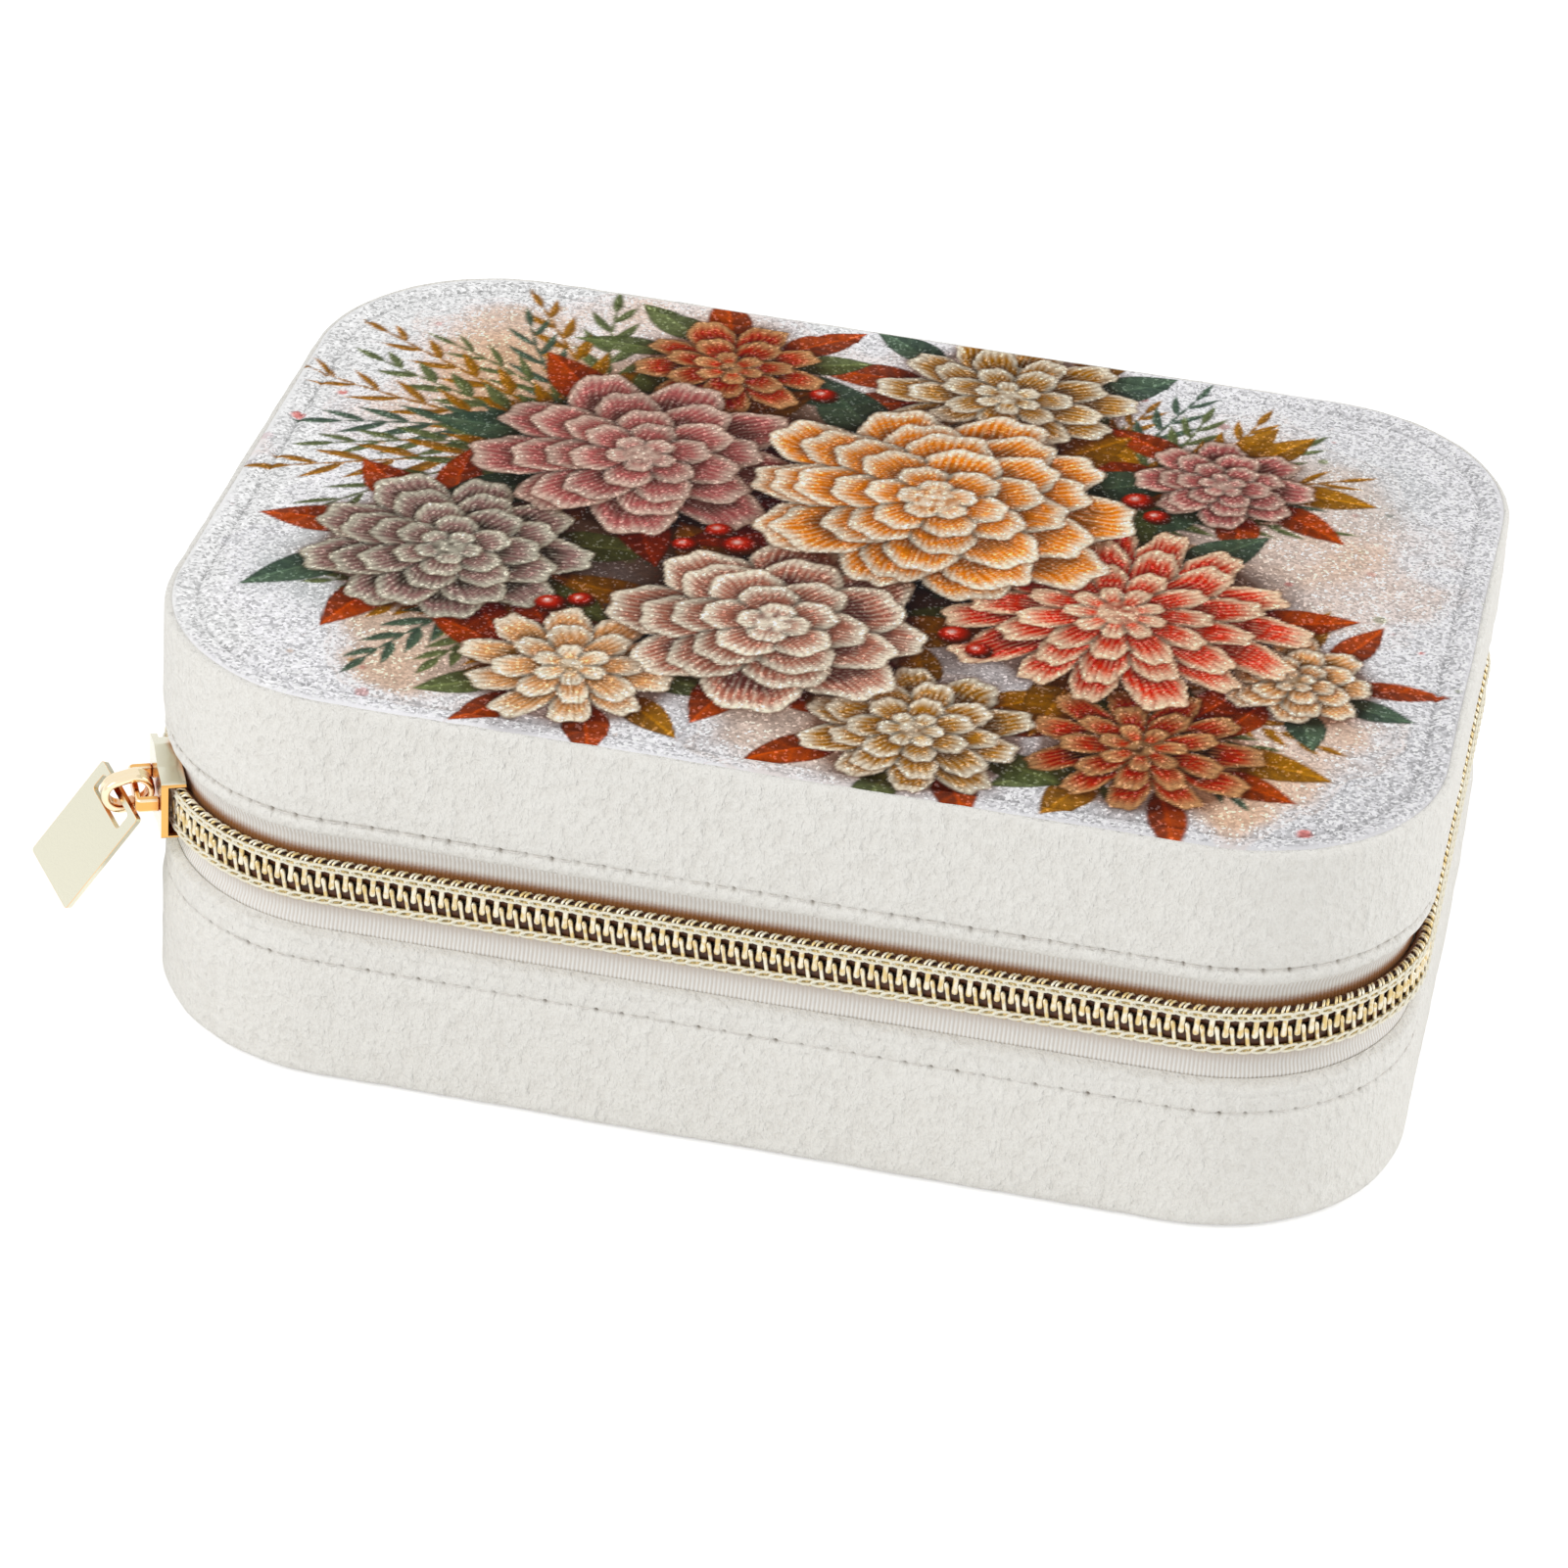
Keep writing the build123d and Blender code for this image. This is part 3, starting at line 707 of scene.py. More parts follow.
def plain_material(name, light, shade, feature, roughness=0.8):
    """A quiet surface: two near colours in soft patches, and a fine relief."""
    material, tree, shader = new_material(name, roughness=roughness)
    patch = object_noise(tree, feature, detail=4.0)
    fine = object_noise(tree, feature / 5, detail=3.0)
    colour = between(tree, patch, shade, light, 0.35, 0.65)
    join_shader(tree, shader, colour, bump(tree, fine, depth=0.03, strength=0.6))
    return material


def tape_material(name, light, rib, shade):
    """Woven tape with ribs in two tones, painted highlight on their tops and painted shade between
    them, and a painted shade with a ragged edge beside the coil.
    """
    material, tree, shader = new_material(name, roughness=0.75, specular=0.3, sheen=0.2)
    weave = object_noise(tree, 0.35, stretch=(1, 1, 0.5))
    # Painted highlight on the ribs' tops and painted shade between them
    ribs = between(tree, layer_node(tree, "rib"), rib, light)
    ragged = math_node(tree, "MULTIPLY_ADD", weave, 0.4, layer_node(tree, "shade"))
    colour = between(tree, ragged, ribs, shade, 0.25, 1.2)
    join_shader(tree, shader, colour, bump(tree, weave, depth=0.05, strength=0.5))
    return material


def mirror_material(name, tone):
    """Silvered glass with the faintest smears."""
    material, tree, shader = new_material(name, metallic=1.0, roughness=0.02)
    smear = object_noise(tree, 14.0, detail=3.0)
    join_shader(tree, shader, between(tree, smear, dimmed(tone, 0.97), tone))
    return material


# Velvet walls. Each wave has a height, a length along the wall and one up it.
WALL_WAVES = ((0.10, 16, 9), (0.06, 3.1, 3.6), (0.03, 1.3, 1.9))
DRAWN_IN = 0.8
DRAWN_LENGTH = 2.4


def wall_relief(run, drop, stitch_drop, fold_drop, around, count, puff, seed):
    """How far the velvet stands out, by the run round the box and the distance from its zip
    edge: a rolled edge, a fold line, a groove at the stitches that is deepest at their holes,
    puckers that fade away from it, and the padding beyond. Slow waves and nap lie over it."""
    pitch = around / count
    past = drop - stitch_drop
    hole = swing(run / pitch) ** 14
    half = fold_drop / 2
    rolled = 0.2 * np.clip(1 - ((drop - half) / (half + 0.25)) ** 2, 0, 1)
    groove = ridge(past, width=0.4, height=0.16) + ridge(past, width=0.3, height=0.45) * hole
    crease = ridge(drop - fold_drop, width=0.28, height=0.16)
    fade = np.exp(-np.abs(past) / 1.5)
    pucker = 0.07 * np.cos(2 * np.pi * (run / pitch + 0.12 * past)) * fade
    relief = puff * ease(past, 0, 3.2) + rolled - groove - crease + pucker
    for number, (height, long, tall) in enumerate(WALL_WAVES):
        relief = relief + height * blotches(run, drop, long, tall, seed + number, around)
    return relief


def sewing_shade_amount(run, drop, stitch_drop, fold_drop, around, count, seed):
    """How much painted shade the velvet gets, from 0 to 1: dots in the needle holes, each as
    strong as chance makes it, on a faint line in the stitch groove, and a fainter line in the
    fold's crease."""
    pitch = around / count
    past = drop - stitch_drop
    hole = np.round(run / pitch).astype(int) % count
    strong = np.random.default_rng(seed).uniform(0.25, 0.85, count)[hole]
    patchy = 0.5 + 0.5 * blotches(run, 0 * run, 14, 1, seed + 3, around)
    dots = strong * swing(run / pitch) ** 10 * ridge(past, width=0.3)
    seam = (0.10 + 0.14 * patchy) * ridge(past, width=0.24)
    fold = 0.12 * patchy * ridge(drop - fold_drop, width=0.22)
    return np.clip(dots + seam + fold, 0, 1)


def profile_normals(profile):
    """Directions out of a closed profile that goes up on its outside."""
    ahead = np.roll(profile, -1, axis=0) - np.roll(profile, 1, axis=0)
    ahead /= np.linalg.norm(ahead, axis=1)[:, None]
    return np.stack([ahead[:, 1], -ahead[:, 0]], axis=-1)


def velvet_wall(body, profile, edge, stitch_drop, fold_drop, material, seed):
    """A closed profile carried round the box and pushed out by the wall's relief, which fades
    away on the faces that turn inside. Near the zip the wall is drawn in over its edge."""
    look = bpy.context.scene.jewelry_box_velvet
    course = Course(corner_radius())
    count = round(course.length / (look.stitch_pitch / MM))
    run = ((np.arange(count)[:, None] + STITCH_COLUMNS) * course.length / count).reshape(-1, 1)
    normals = profile_normals(profile)
    drop = np.abs(profile[:, 1] - edge)
    sewing = (run, drop, stitch_drop, fold_drop, course.length, count)
    relief = wall_relief(*sewing, look.puff / MM, seed) * ease(profile[:, 0], -1.2, -0.3)
    near_edge = np.clip(1 - drop / DRAWN_LENGTH, 0, 1)
    drawn = DRAWN_IN * near_edge**2 * ease(profile[:, 0], -1.5, -0.2)
    out = profile[:, 0] + relief * normals[:, 0] - drawn
    height = profile[:, 1] + relief * normals[:, 1]
    points = course.points(run, out, height).reshape(-1, 3)
    shape = points, [grid_faces(len(run), len(profile), True, True)]
    name, replaced = f"velvet_{body}_wall", [f"{body}_wall_cover"]
    piece = make_piece(name, shape, material, body, replaced)
    # Painted shade at the sewing: needle holes, stitch groove and fold crease
    set_layer(piece, "mark", sewing_shade_amount(*sewing, seed).ravel())


def base_wall_profile(look):
    """From the underside round the bottom edge, up the wall, over the rolled edge, down into
    the tape's slot, up its other side and down the back."""
    bottom = look.bottom_radius / MM
    lip = TAPE_INSET - SLOT_ROOM
    slot_floor = TAPE_BOTTOM - SLOT_ROOM
    inner = BOARD_INSET - SLOT_ROOM
    roll = lip / 2
    return np.concatenate(
        [
            straight((-inner, 0), (-bottom, 0), 0.4),
            arc((-bottom, bottom), bottom, -90, 0, 9)[:-1],
            straight((0, bottom), (0, BASE_EDGE - roll), WALL_STEP),
            arc((-roll, BASE_EDGE - roll), roll, 0, 180, 11)[:-1],
            straight((-lip, BASE_EDGE - roll), (-lip, slot_floor), 2.0),
            straight((-lip, slot_floor), (-inner, slot_floor), 1.0),
            straight((-inner, slot_floor), (-inner, 0), 5.0),
        ]
    )


def lid_wall_profile(look):
    """From the tape's slot over the rolled edge, up the wall, half way round the top edge, in
    under the printed cloth and down the back."""
    top = look.top_radius / MM
    lip = TAPE_INSET - SLOT_ROOM
    slot_roof = TAPE_TOP + SLOT_ROOM
    inner = BOARD_INSET - SLOT_ROOM
    roll = lip / 2
    under = PANEL_BOTTOM + CLOTH_UNDER
    return np.concatenate(
        [
            straight((-inner, slot_roof), (-lip, slot_roof), 1.0),
            straight((-lip, slot_roof), (-lip, LID_EDGE + roll), 2.0),
            arc((-roll, LID_EDGE + roll), roll, 180, 360, 11)[:-1],
            straight((0, LID_EDGE + roll), (0, BOX_TOP - top), WALL_STEP),
            arc((-top, BOX_TOP - top), top, 0, 45, 5),
            straight((-0.7 * top, under + CLOTH_THICK), (-inner, under), 1.0),
            straight((-inner, under), (-inner, slot_roof), 5.0),
        ]
    )


def stitch_shape(look):
    """A thread that dives into the cloth at both ends: a tube bent in a shallow arch."""
    thread, arch, sunk = 0.12, 0.34, 0.08
    part = np.linspace(-1, 1, 6)
    reach = look.stitch_length / MM / 2
    line = np.stack([part * reach, -arch * part**2 - sunk, 0 * part], axis=-1)
    thick = thread * np.sqrt(1.04 - part**2)[:, None]
    return swept(line, thick * (0, 0, 1), thick * (0, -1, 0), 6)


class JEWELRYBOX_OT_velvet_walls(bpy.types.Operator):
    """Padded velvet walls of the base and the lid"""

    bl_idname = "jewelry_box.velvet_walls"
    bl_label = "Velvet walls"

    def execute(self, context):
        look = context.scene.jewelry_box_velvet
        velvet = velvet_material("ivory_velvet", look.velvet, look.velvet_shade, look.mark)
        rise = look.lid_stitch_rise / MM
        base_drops = look.base_stitch_drop / MM, look.base_fold_drop / MM
        velvet_wall("base", base_wall_profile(look), BASE_EDGE, *base_drops, velvet, 11)
        velvet_wall("lid", lid_wall_profile(look), LID_EDGE, rise, rise, velvet, 23)
        dress("base_bottom_panel", velvet)
        return {"FINISHED"}


class JEWELRYBOX_OT_stitches(bpy.types.Operator):
    """Sewing threads along the zip edges of both walls"""

    bl_idname = "jewelry_box.stitches"
    bl_label = "Stitches"

    def execute(self, context):
        look = context.scene.jewelry_box_velvet
        thread = plain_material("sewing_thread", look.thread, dimmed(look.thread, 0.85), 0.6, 0.7)
        course = Course(corner_radius())
        count = round(course.length / (look.stitch_pitch / MM))
        runs = (np.arange(count) + 0.5) * course.length / count
        heights = {
            "base": BASE_EDGE - look.base_stitch_drop / MM,
            "lid": LID_EDGE + look.lid_stitch_rise / MM,
        }
        stitch = stitch_shape(look)
        for body, height in heights.items():
            shape = repeated(course, runs, np.full(count, height), stitch)
            make_piece(f"{body}_stitches", shape, thread, body)
        return {"FINISHED"}


# Printed cloth: a generic garden in warm petals and cool leaves
PAINTS = ("coral", "amber", "peach", "cream", "mauve", "ochre", "brown", "sage", "teal")
SHADOW = (0.30, 0.20, 0.16)


class Canvas:
    """Colours at the points of the cloth, laid in layers from the bare glitter up, and how much
    paint lies on each point."""

    def __init__(self, x, y, ground):
        self.x = x
        self.y = y
        self.colours = np.tile(np.array(ground, float), (len(x), 1))
        self.ink = np.zeros(len(x))

    def near(self, place, reach):
        """The points within reach of a place, with their coordinates about it."""
        spots = np.flatnonzero(np.hypot(self.x - place[0], self.y - place[1]) < reach)
        return spots, self.x[spots] - place[0], self.y[spots] - place[1]

    def lay(self, spots, cover, paint):
        """Covers points with a paint, fully where the cover is 1."""
        self.colours[spots] += (np.asarray(paint) - self.colours[spots]) * cover[:, None]
        self.ink[spots] += (1 - self.ink[spots]) * cover

    def glaze(self, spots, cover, paint=SHADOW):
        """Darkens points towards a paint, as a thin wash does."""
        self.colours[spots] *= 1 - cover[:, None] * (1 - np.asarray(paint))
        self.ink[spots] += (1 - self.ink[spots]) * 0.6 * cover

    def varnish(self, vivid, deep):
        """Draws painted colours away from grey and deepens them by a power, bare cloth not."""
        ink = self.ink[:, None]
        grey = self.colours @ np.array([[0.21], [0.72], [0.07]])
        stronger = np.clip(grey + (self.colours - grey) * (1 + vivid * ink), 0.004, 1)
        self.colours = stronger ** (1 + deep * ink)


def paint_wash(canvas, place, reach, paint, strength, seed):
    """A pool of thin colour: full in the middle, torn by clouds towards its edge, where the
    pigment gathers in a line."""
    spots, x, y = canvas.near(place, 1.5 * reach)
    cloud = clouds(x + place[0], y + place[1], reach * 0.8, seed)
    level = 1 - np.hypot(x, y) / reach + 0.75 * cloud
    rim = ridge(level - 0.04, width=0.035, height=0.25)
    cover = strength * (ease(level, 0.0, 0.45) * (0.75 + 0.35 * cloud) + rim)
    canvas.lay(spots, np.clip(cover, 0, 1), paint)


def paint_blossom(canvas, place, reach, rings, petals, paints, start, pointed, seed):
    """Rings of petals from the outside in. In polar coordinates about the middle, a petal's edge
    is its ring's radius, less a share that grows towards the petal's sides. From that edge
    inwards its colour runs from the tip's over the body's to the depth's, with fine streaks
    along it, a dark line down its sides and a shadow on what lies under it."""
    depth, body, tip = paints
    spots, x, y = canvas.near(place, reach * 1.35)
    radius = np.hypot(x, y)
    direction = np.arctan2(y, x) / (2 * np.pi)
    cloud = clouds(x + place[0], y + place[1], reach * 0.5, seed)
    fall = np.clip(np.hypot(x - 0.6, y + 1.0) - reach * 0.84, 0, None)
    canvas.glaze(spots, np.exp(-fall / 1.4) * 0.9)
    random = np.random.default_rng(seed)
    spacing = reach / rings
    for ring in range(rings):
        part = (1 - ring / rings) ** 0.9
        count = max(round(petals * (0.4 + 0.6 * part)), 4)
        turned = (direction + 0.02 * cloud) * count + start + ring * 0.53 + random.uniform(0, 0.2)
        around = turned % 1
        number = np.floor(turned).astype(int) % count
        side = np.abs(2 * around - 1)
        lengths = random.uniform(0.9, 1.05, count)[number]
        ripple = 1 + 0.018 * np.cos(2 * np.pi * around * 3) + 0.03 * cloud
        edge = reach * part * lengths * (1 - pointed * side**2.6) * ripple
        inside = edge - radius
        under = np.exp(-np.clip(-inside, 0, None) / (0.35 * spacing)) * (inside < 0) * 0.6
        canvas.glaze(spots, under)
        inward = np.clip(inside / (1.5 * spacing), 0, 1)
        tone = mixed(tip, body, ease(inward, 0.05, 0.46))
        tone = mixed(tone, 0.6 * depth, ease(inward, 0.44, 0.95))
        streaks = max(round(5.5 * reach * part / count), 3)
        streak = 0.5 + 0.5 * np.cos(2 * np.pi * around * streaks + 1.5 * cloud)
        tone = mixed(tone, 1.1 * np.asarray(tip), streak**4 * 0.6 * (1 - 0.6 * inward))
        tone = mixed(tone, depth, (1 - streak) ** 6 * 0.45)
        lengthwise = random.uniform(0.84, 1.08, count)[number]
        shade = 1 - 0.35 * ease(0.34 - around, 0, 0.34)
        gap = (1 - side) * np.pi * radius / count
        line = 1 - ridge(gap, width=0.3, height=0.6)
        tone *= (lengthwise * shade * line * (1 + 0.1 * cloud))[:, None]
        canvas.lay(spots, ease(inside, -0.15, 0.25), tone)
        canvas.glaze(spots, ridge(inside - 0.05, width=0.2, height=0.65))
    dots = 0.5 + 0.5 * blotches(x, y, 0.8, 0.8, seed + 9)
    heart = ease(reach * 0.12 - radius, -0.3, 0.4)
    canvas.lay(spots, heart, mixed(depth, tip, dots))


def paint_leaf(canvas, base, direction, reach, width, paints, bend=0.0):
    """A leaf along its own axis: half its width is a sine along it, pointed at both ends. The
    two halves differ in tone, with a light midrib, slanted veins and a dark edge."""
    shade, light = paints
    cosine, sine = towards(direction)
    middle = np.asarray(base) + reach / 2 * towards(direction)
    spots, x, y = canvas.near(middle, reach * 0.62 + width)
    x, y = x + middle[0] - base[0], y + middle[1] - base[1]
    along = (x * cosine + y * sine) / reach
    off = -x * sine + y * cosine
    off = off - bend * reach * np.clip(along, 0, 1) ** 2
    half = width * np.sin(np.pi * np.clip(along, 0, 1) ** 0.8)
    inside = half - np.abs(off)
    cover = ease(inside, -0.12, 0.22) * (half > 0)
    veins = max(round(reach / 2.2), 4)
    vein = swing(along * veins - 0.9 * np.abs(off) / max(width, 0.1))
    part = 0.2 + 0.35 * (off > 0) + 0.3 * vein**3 + 0.25 * along
    tone = mixed(shade, light, np.clip(part, 0, 1))
    if width > 2.5:
        tone = mixed(tone, np.asarray(light) * 1.5, ridge(off, width=0.2, height=0.8))
        tone *= (1 - ridge(inside, width=0.35, height=0.4))[:, None]
    canvas.lay(spots, cover * 0.97, tone)


def paint_sprig(canvas, base, direction, reach, leaves, leaf, paints, bend):
    """A stem that curves evenly, with leaves to both sides in turn, smaller towards its tip."""
    leaf_reach, leaf_width = leaf
    place = np.array(base, float)
    step = reach / leaves
    for number in range(leaves):
        part = number / leaves
        heading = math.radians(direction) + bend * (part - 0.3)
        side = 1 if number % 2 else -1
        scale = 1 - 0.55 * part
        paint_leaf(canvas, place, heading, step * 1.3, 0.55 - 0.25 * part, paints)
        spread = heading + side * (0.75 - 0.2 * part)
        paint_leaf(canvas, place, spread, leaf_reach * scale, leaf_width * scale, paints, -0.12 * side)
        place = place + step * towards(heading)
    paint_leaf(canvas, place, heading, leaf_reach * 0.5, leaf_width * 0.5, paints)


def paint_berry(canvas, place, reach, paints):
    """A ball: light at the upper left, dark at its rim, with a small glint."""
    shade, light = paints
    glint = (0.9, 0.84, 0.78)
    spots, x, y = canvas.near(place, reach * 1.8)
    radius = np.hypot(x, y) / reach
    canvas.glaze(spots, np.exp(-np.clip(radius - 1, 0, None) * 4) * 0.5)
    lit = np.hypot(x + 0.3 * reach, y - 0.3 * reach) / reach
    tone = mixed(light, shade, ease(lit, 0.1, 1.2))
    tone = mixed(tone, glint, ridge(lit, width=0.22, height=0.7))
    canvas.lay(spots, ease(1 - radius, -0.08, 0.1), tone)


def paint_speckles(canvas, count, paints, seed):
    """Small drops thrown about the middle, each a round spot of one paint."""
    random = np.random.default_rng(seed)
    for _ in range(count):
        place = random.normal(0, 1, 2) * (50, 36)
        reach = min(0.25 + random.exponential(0.45), 1.0)
        spots, x, y = canvas.near(place, reach + 0.6)
        cover = ease(reach - np.hypot(x, y), -0.2, 0.25) * random.uniform(0.25, 0.8)
        canvas.lay(spots, cover, paints[random.integers(len(paints))])


def paint_fans(canvas, random, tones):
    """Sprigs that fan out from behind the blossoms, in five tones by turns. A fan has a place,
    a first and a last direction, a number of sprigs, their length and that of their leaves."""
    fans = (
        ((-34, 14), 108, 212, 11, 43, 13),
        ((28, 18), 100, 8, 9, 35, 12),
        ((-34, -22), 196, 262, 5, 30, 10),
        ((36, -22), 276, 338, 5, 32, 10),
    )
    for base, first, last, count, reach, leaf in fans:
        for number in range(count):
            direction = first + (last - first) * number / (count - 1)
            long = reach * random.uniform(0.82, 1.12)
            shape = (leaf * random.uniform(0.9, 1.2), random.uniform(1.1, 1.7))
            bend = random.uniform(-0.6, 0.6)
            paint_sprig(canvas, base, direction, long, 13, shape, tones[number % 5], bend)


def paint_ruffs(canvas, random, places, kinds):
    """Nine leaves under each blossom, that point away from its middle all round."""
    for place, reach in places:
        for spoke in range(9):
            turned = 2 * math.pi * (spoke + random.uniform(0, 0.7)) / 9
            base = np.array(place) + 0.6 * reach * towards(turned)
            long = 0.45 * reach + random.uniform(5, 9)
            wide = 0.12 * reach + random.uniform(0.8, 1.8)
            kind = kinds[random.integers(5)]
            paint_leaf(canvas, base, turned, long, wide, kind, random.uniform(-0.2, 0.2))


def paint_garden(canvas, look):
    """Washes first, then sprigs and leaves, then blossoms from the back to the front."""
    paints = (np.array(tuple(getattr(look, name))) for name in PAINTS)
    coral, amber, peach, cream, mauve, ochre, brown, sage, teal = paints
    pale_teal = 0.5 + 0.5 * teal
    sand = 0.6 * ochre + 0.4 * peach
    # Place, reach, paint and strength of each wash
    washes = (
        ((-40, 20), 36, peach, 0.6),
        ((44, 22), 30, 0.7 * peach + 0.3 * ochre, 0.45),
        ((-56, -20), 20, pale_teal, 0.7),
        ((66, 8), 13, peach, 0.35),
        ((62, 34), 12, pale_teal, 0.3),
        ((58, -34), 18, peach, 0.7),
        ((-52, 36), 18, 0.6 * peach + 0.4 * ochre, 0.6),
        ((-44, -38), 20, sand, 0.7),
        ((4, -46), 26, sand, 0.7),
        ((2, 4), 46, 0.5 * ochre + 0.5 * brown, 0.7),
        ((-16, -4), 42, 0.5 * brown, 1.0),
        ((16, 4), 33, 0.5 * brown, 1.0),
    )
    for number, wash in enumerate(washes):
        paint_wash(canvas, *wash, 40 + 7 * number)
    paint_speckles(canvas, 300, (coral, sage, teal, ochre, brown, mauve), 5)

    # Shade and light of the leaves
    greens = (0.3 * sage, 0.9 * sage)
    cool = (0.35 * teal, 0.7 * teal + 0.3 * sage)
    dry = (0.3 * ochre + 0.1 * brown, ochre)
    rust = (0.5 * brown + 0.05 * coral, 0.5 * coral + 0.3 * ochre)
    random = np.random.default_rng(33)
    paint_fans(canvas, random, (greens, dry, cool, greens, dry))

    # Depth, body and tip of the petals
    warm = (0.4 * coral + 0.1 * brown, coral, 0.55 * cream + 0.45 * peach)
    orange = (0.5 * amber + 0.35 * brown, amber, cream)
    rosy = (0.3 * mauve + 0.5 * brown, mauve, 0.55 * cream + 0.35 * mauve)
    blush = (rosy[0], 0.6 * rosy[1] + 0.25 * peach, cream)
    pale = (0.5 * ochre + 0.3 * brown, 0.8 * peach + 0.2 * amber, cream)
    tan = (0.5 * brown + 0.3 * ochre, ochre, 0.9 * cream)
    grey = (0.5 * brown + 0.15 * teal, 0.4 * teal + 0.5 * mauve + 0.06, 0.65 * cream + 0.3 * teal)
    russet = (0.5 * brown, 0.65 * coral + 0.15 * brown, 0.7 * peach)
    # Place, reach, rings, petals, paints, turn and pointedness of each blossom
    blossoms = (
        ((12, 46), 18, 4, 10, tan, 0.2, 0.35),
        ((-26, 42), 14, 3, 9, russet, 0.5, 0.4),
        ((44, 30), 12, 4, 8, rosy, 0.3, 0.3),
        ((-28, -42), 14, 3, 10, pale, 0.5, 0.35),
        ((60, -18), 11, 4, 8, pale, 0.4, 0.3),
        ((44, -40), 15, 3, 11, russet, 0.15, 0.45),
        ((16, -44), 15, 4, 10, tan, 0.7, 0.3),
        ((-50, -18), 19, 5, 9, grey, 0.2, 0.3),
        ((36, -8), 24, 4, 15, warm, 0.05, 0.3),
        ((-32, 14), 22, 5, 9, rosy, 0.45, 0.3),
        ((-6, -24), 21, 5, 8, blush, 0.25, 0.26),
        ((8, 14), 27, 6, 10, orange, 0.35, 0.24),
    )
    places = [blossom[:2] for blossom in blossoms]
    paint_ruffs(canvas, random, places, (greens, cool, rust, dry, rust))
    depth = np.exp(-(((canvas.x + 6) / 50) ** 2 + (canvas.y / 40) ** 2) ** 2)
    canvas.glaze(np.arange(len(canvas.x)), 0.85 * depth)
    for number, blossom in enumerate(blossoms):
        paint_blossom(canvas, *blossom, 90 + 13 * number)

    # Place and reach of each berry
    berries = (
        ((-14, -6), 2.4),
        ((-17.5, -3), 2.0),
        ((-21, -8), 1.8),
        ((17, -20), 2.3),
        ((20.5, -23), 1.9),
        ((-34, -28), 2.2),
        ((-30.5, -26), 1.8),
        ((34, 22), 2.3),
        ((37, 18.5), 1.9),
        ((-12, 38), 2.1),
    )
    for berry in berries:
        paint_berry(canvas, *berry, (0.6 * brown, 0.8 * coral))
    canvas.varnish(vivid=0.25, deep=0.1)


def cloth_grid(inset, spacing):
    """Points that fill the rounded outline row by row: rows lie evenly on the straight sides and
    evenly in angle round the corners, and each row is spread evenly between its two ends."""
    radius = corner_radius() - inset
    axis_x, axis_y = corner_axes()
    turns = np.linspace(0, np.pi / 2, round(radius * np.pi / 2 / spacing) + 1)
    rounded = axis_y + radius * np.sin(turns)
    middle = np.linspace(-axis_y, axis_y, round(2 * axis_y / spacing) + 1)[1:-1]
    y = np.concatenate([-rounded[::-1], middle, rounded])
    beyond = np.clip(np.abs(y) - axis_y, 0, radius)
    reach = axis_x + np.sqrt(radius**2 - beyond**2)
    columns = round(2 * HALF_WIDTH / spacing)
    x = reach[:, None] * np.linspace(-1, 1, columns)
    return x, np.broadcast_to(y[:, None], x.shape)


def cloth_height(x, y, top, look):
    """Height of the cloth by the distance from its rim: a round of the top's radius, a crease
    at the seam that the cloth falls towards, a slow rise to the crown, and faint waves."""
    seam = look.seam_inset / MM
    sunk = 0.12
    rim = rim_distance(x, y)
    rounding = np.clip(top - rim, 0, top)
    height = BOX_TOP - top + np.sqrt(top**2 - rounding**2)
    height -= ridge(rim - seam, width=0.42, height=0.28)
    height -= sunk * ease(rim, 1.5, seam)
    height += (sunk + look.crown / MM) * ease(rim, seam, seam + 22)
    return height + 0.03 * blotches(x, y, 6, 6, 3)


def closed_sheet(x, y, height, floor):
    """A sheet over a grid, with sides from its rim down to a floor, which a fan closes."""
    rows, columns = x.shape
    sheet = np.stack([x, y, height], axis=-1).reshape(-1, 3)
    index = np.arange(rows * columns).reshape(rows, columns)
    rim = np.concatenate([index[0, :-1], index[:-1, -1], index[-1, :0:-1], index[:0:-1, 0]])
    lower = sheet[rim].copy()
    lower[:, 2] = floor
    points = np.concatenate([sheet, lower, [[0, 0, floor]]])
    below = len(sheet) + np.arange(len(rim))
    ahead = np.roll(below, -1)
    sides = np.stack([below, ahead, np.roll(rim, -1), rim], axis=-1)
    fan = np.stack([ahead, below, np.full(len(rim), len(points) - 1)], axis=-1)
    return points, [grid_faces(rows, columns), sides, fan]


def painted_cloth(x, y, look):
    """The colour of each point, and how much bare glitter it shows. The silver is mottled, with
    painted shade that makes it a little darker to the right and the front, and dark in the
    seam's crease."""
    canvas = Canvas(x, y, look.silver)
    mottle = clouds(x, y, 9, 71)
    # Painted shade: the silver grows darker to the right and towards the front
    painted_shade_right = 0.07 * x / 60 + 0.05 * np.maximum(x, 0) / 60
    canvas.colours *= (1 + 0.06 * mottle - painted_shade_right + 0.04 * y / 45)[:, None]
    paint_garden(canvas, look)
    inset = rim_distance(x, y)
    # Painted shade in the seam's crease
    canvas.colours *= (1 - ridge(inset - look.seam_inset / MM, width=0.3, height=0.3))[:, None]
    colours = np.concatenate([np.clip(canvas.colours, 0, 1), np.ones((len(x), 1))], axis=1)
    return colours, ease(inset + 0.6 * mottle, 0.7, 1.5) * (1 - 0.55 * canvas.ink)


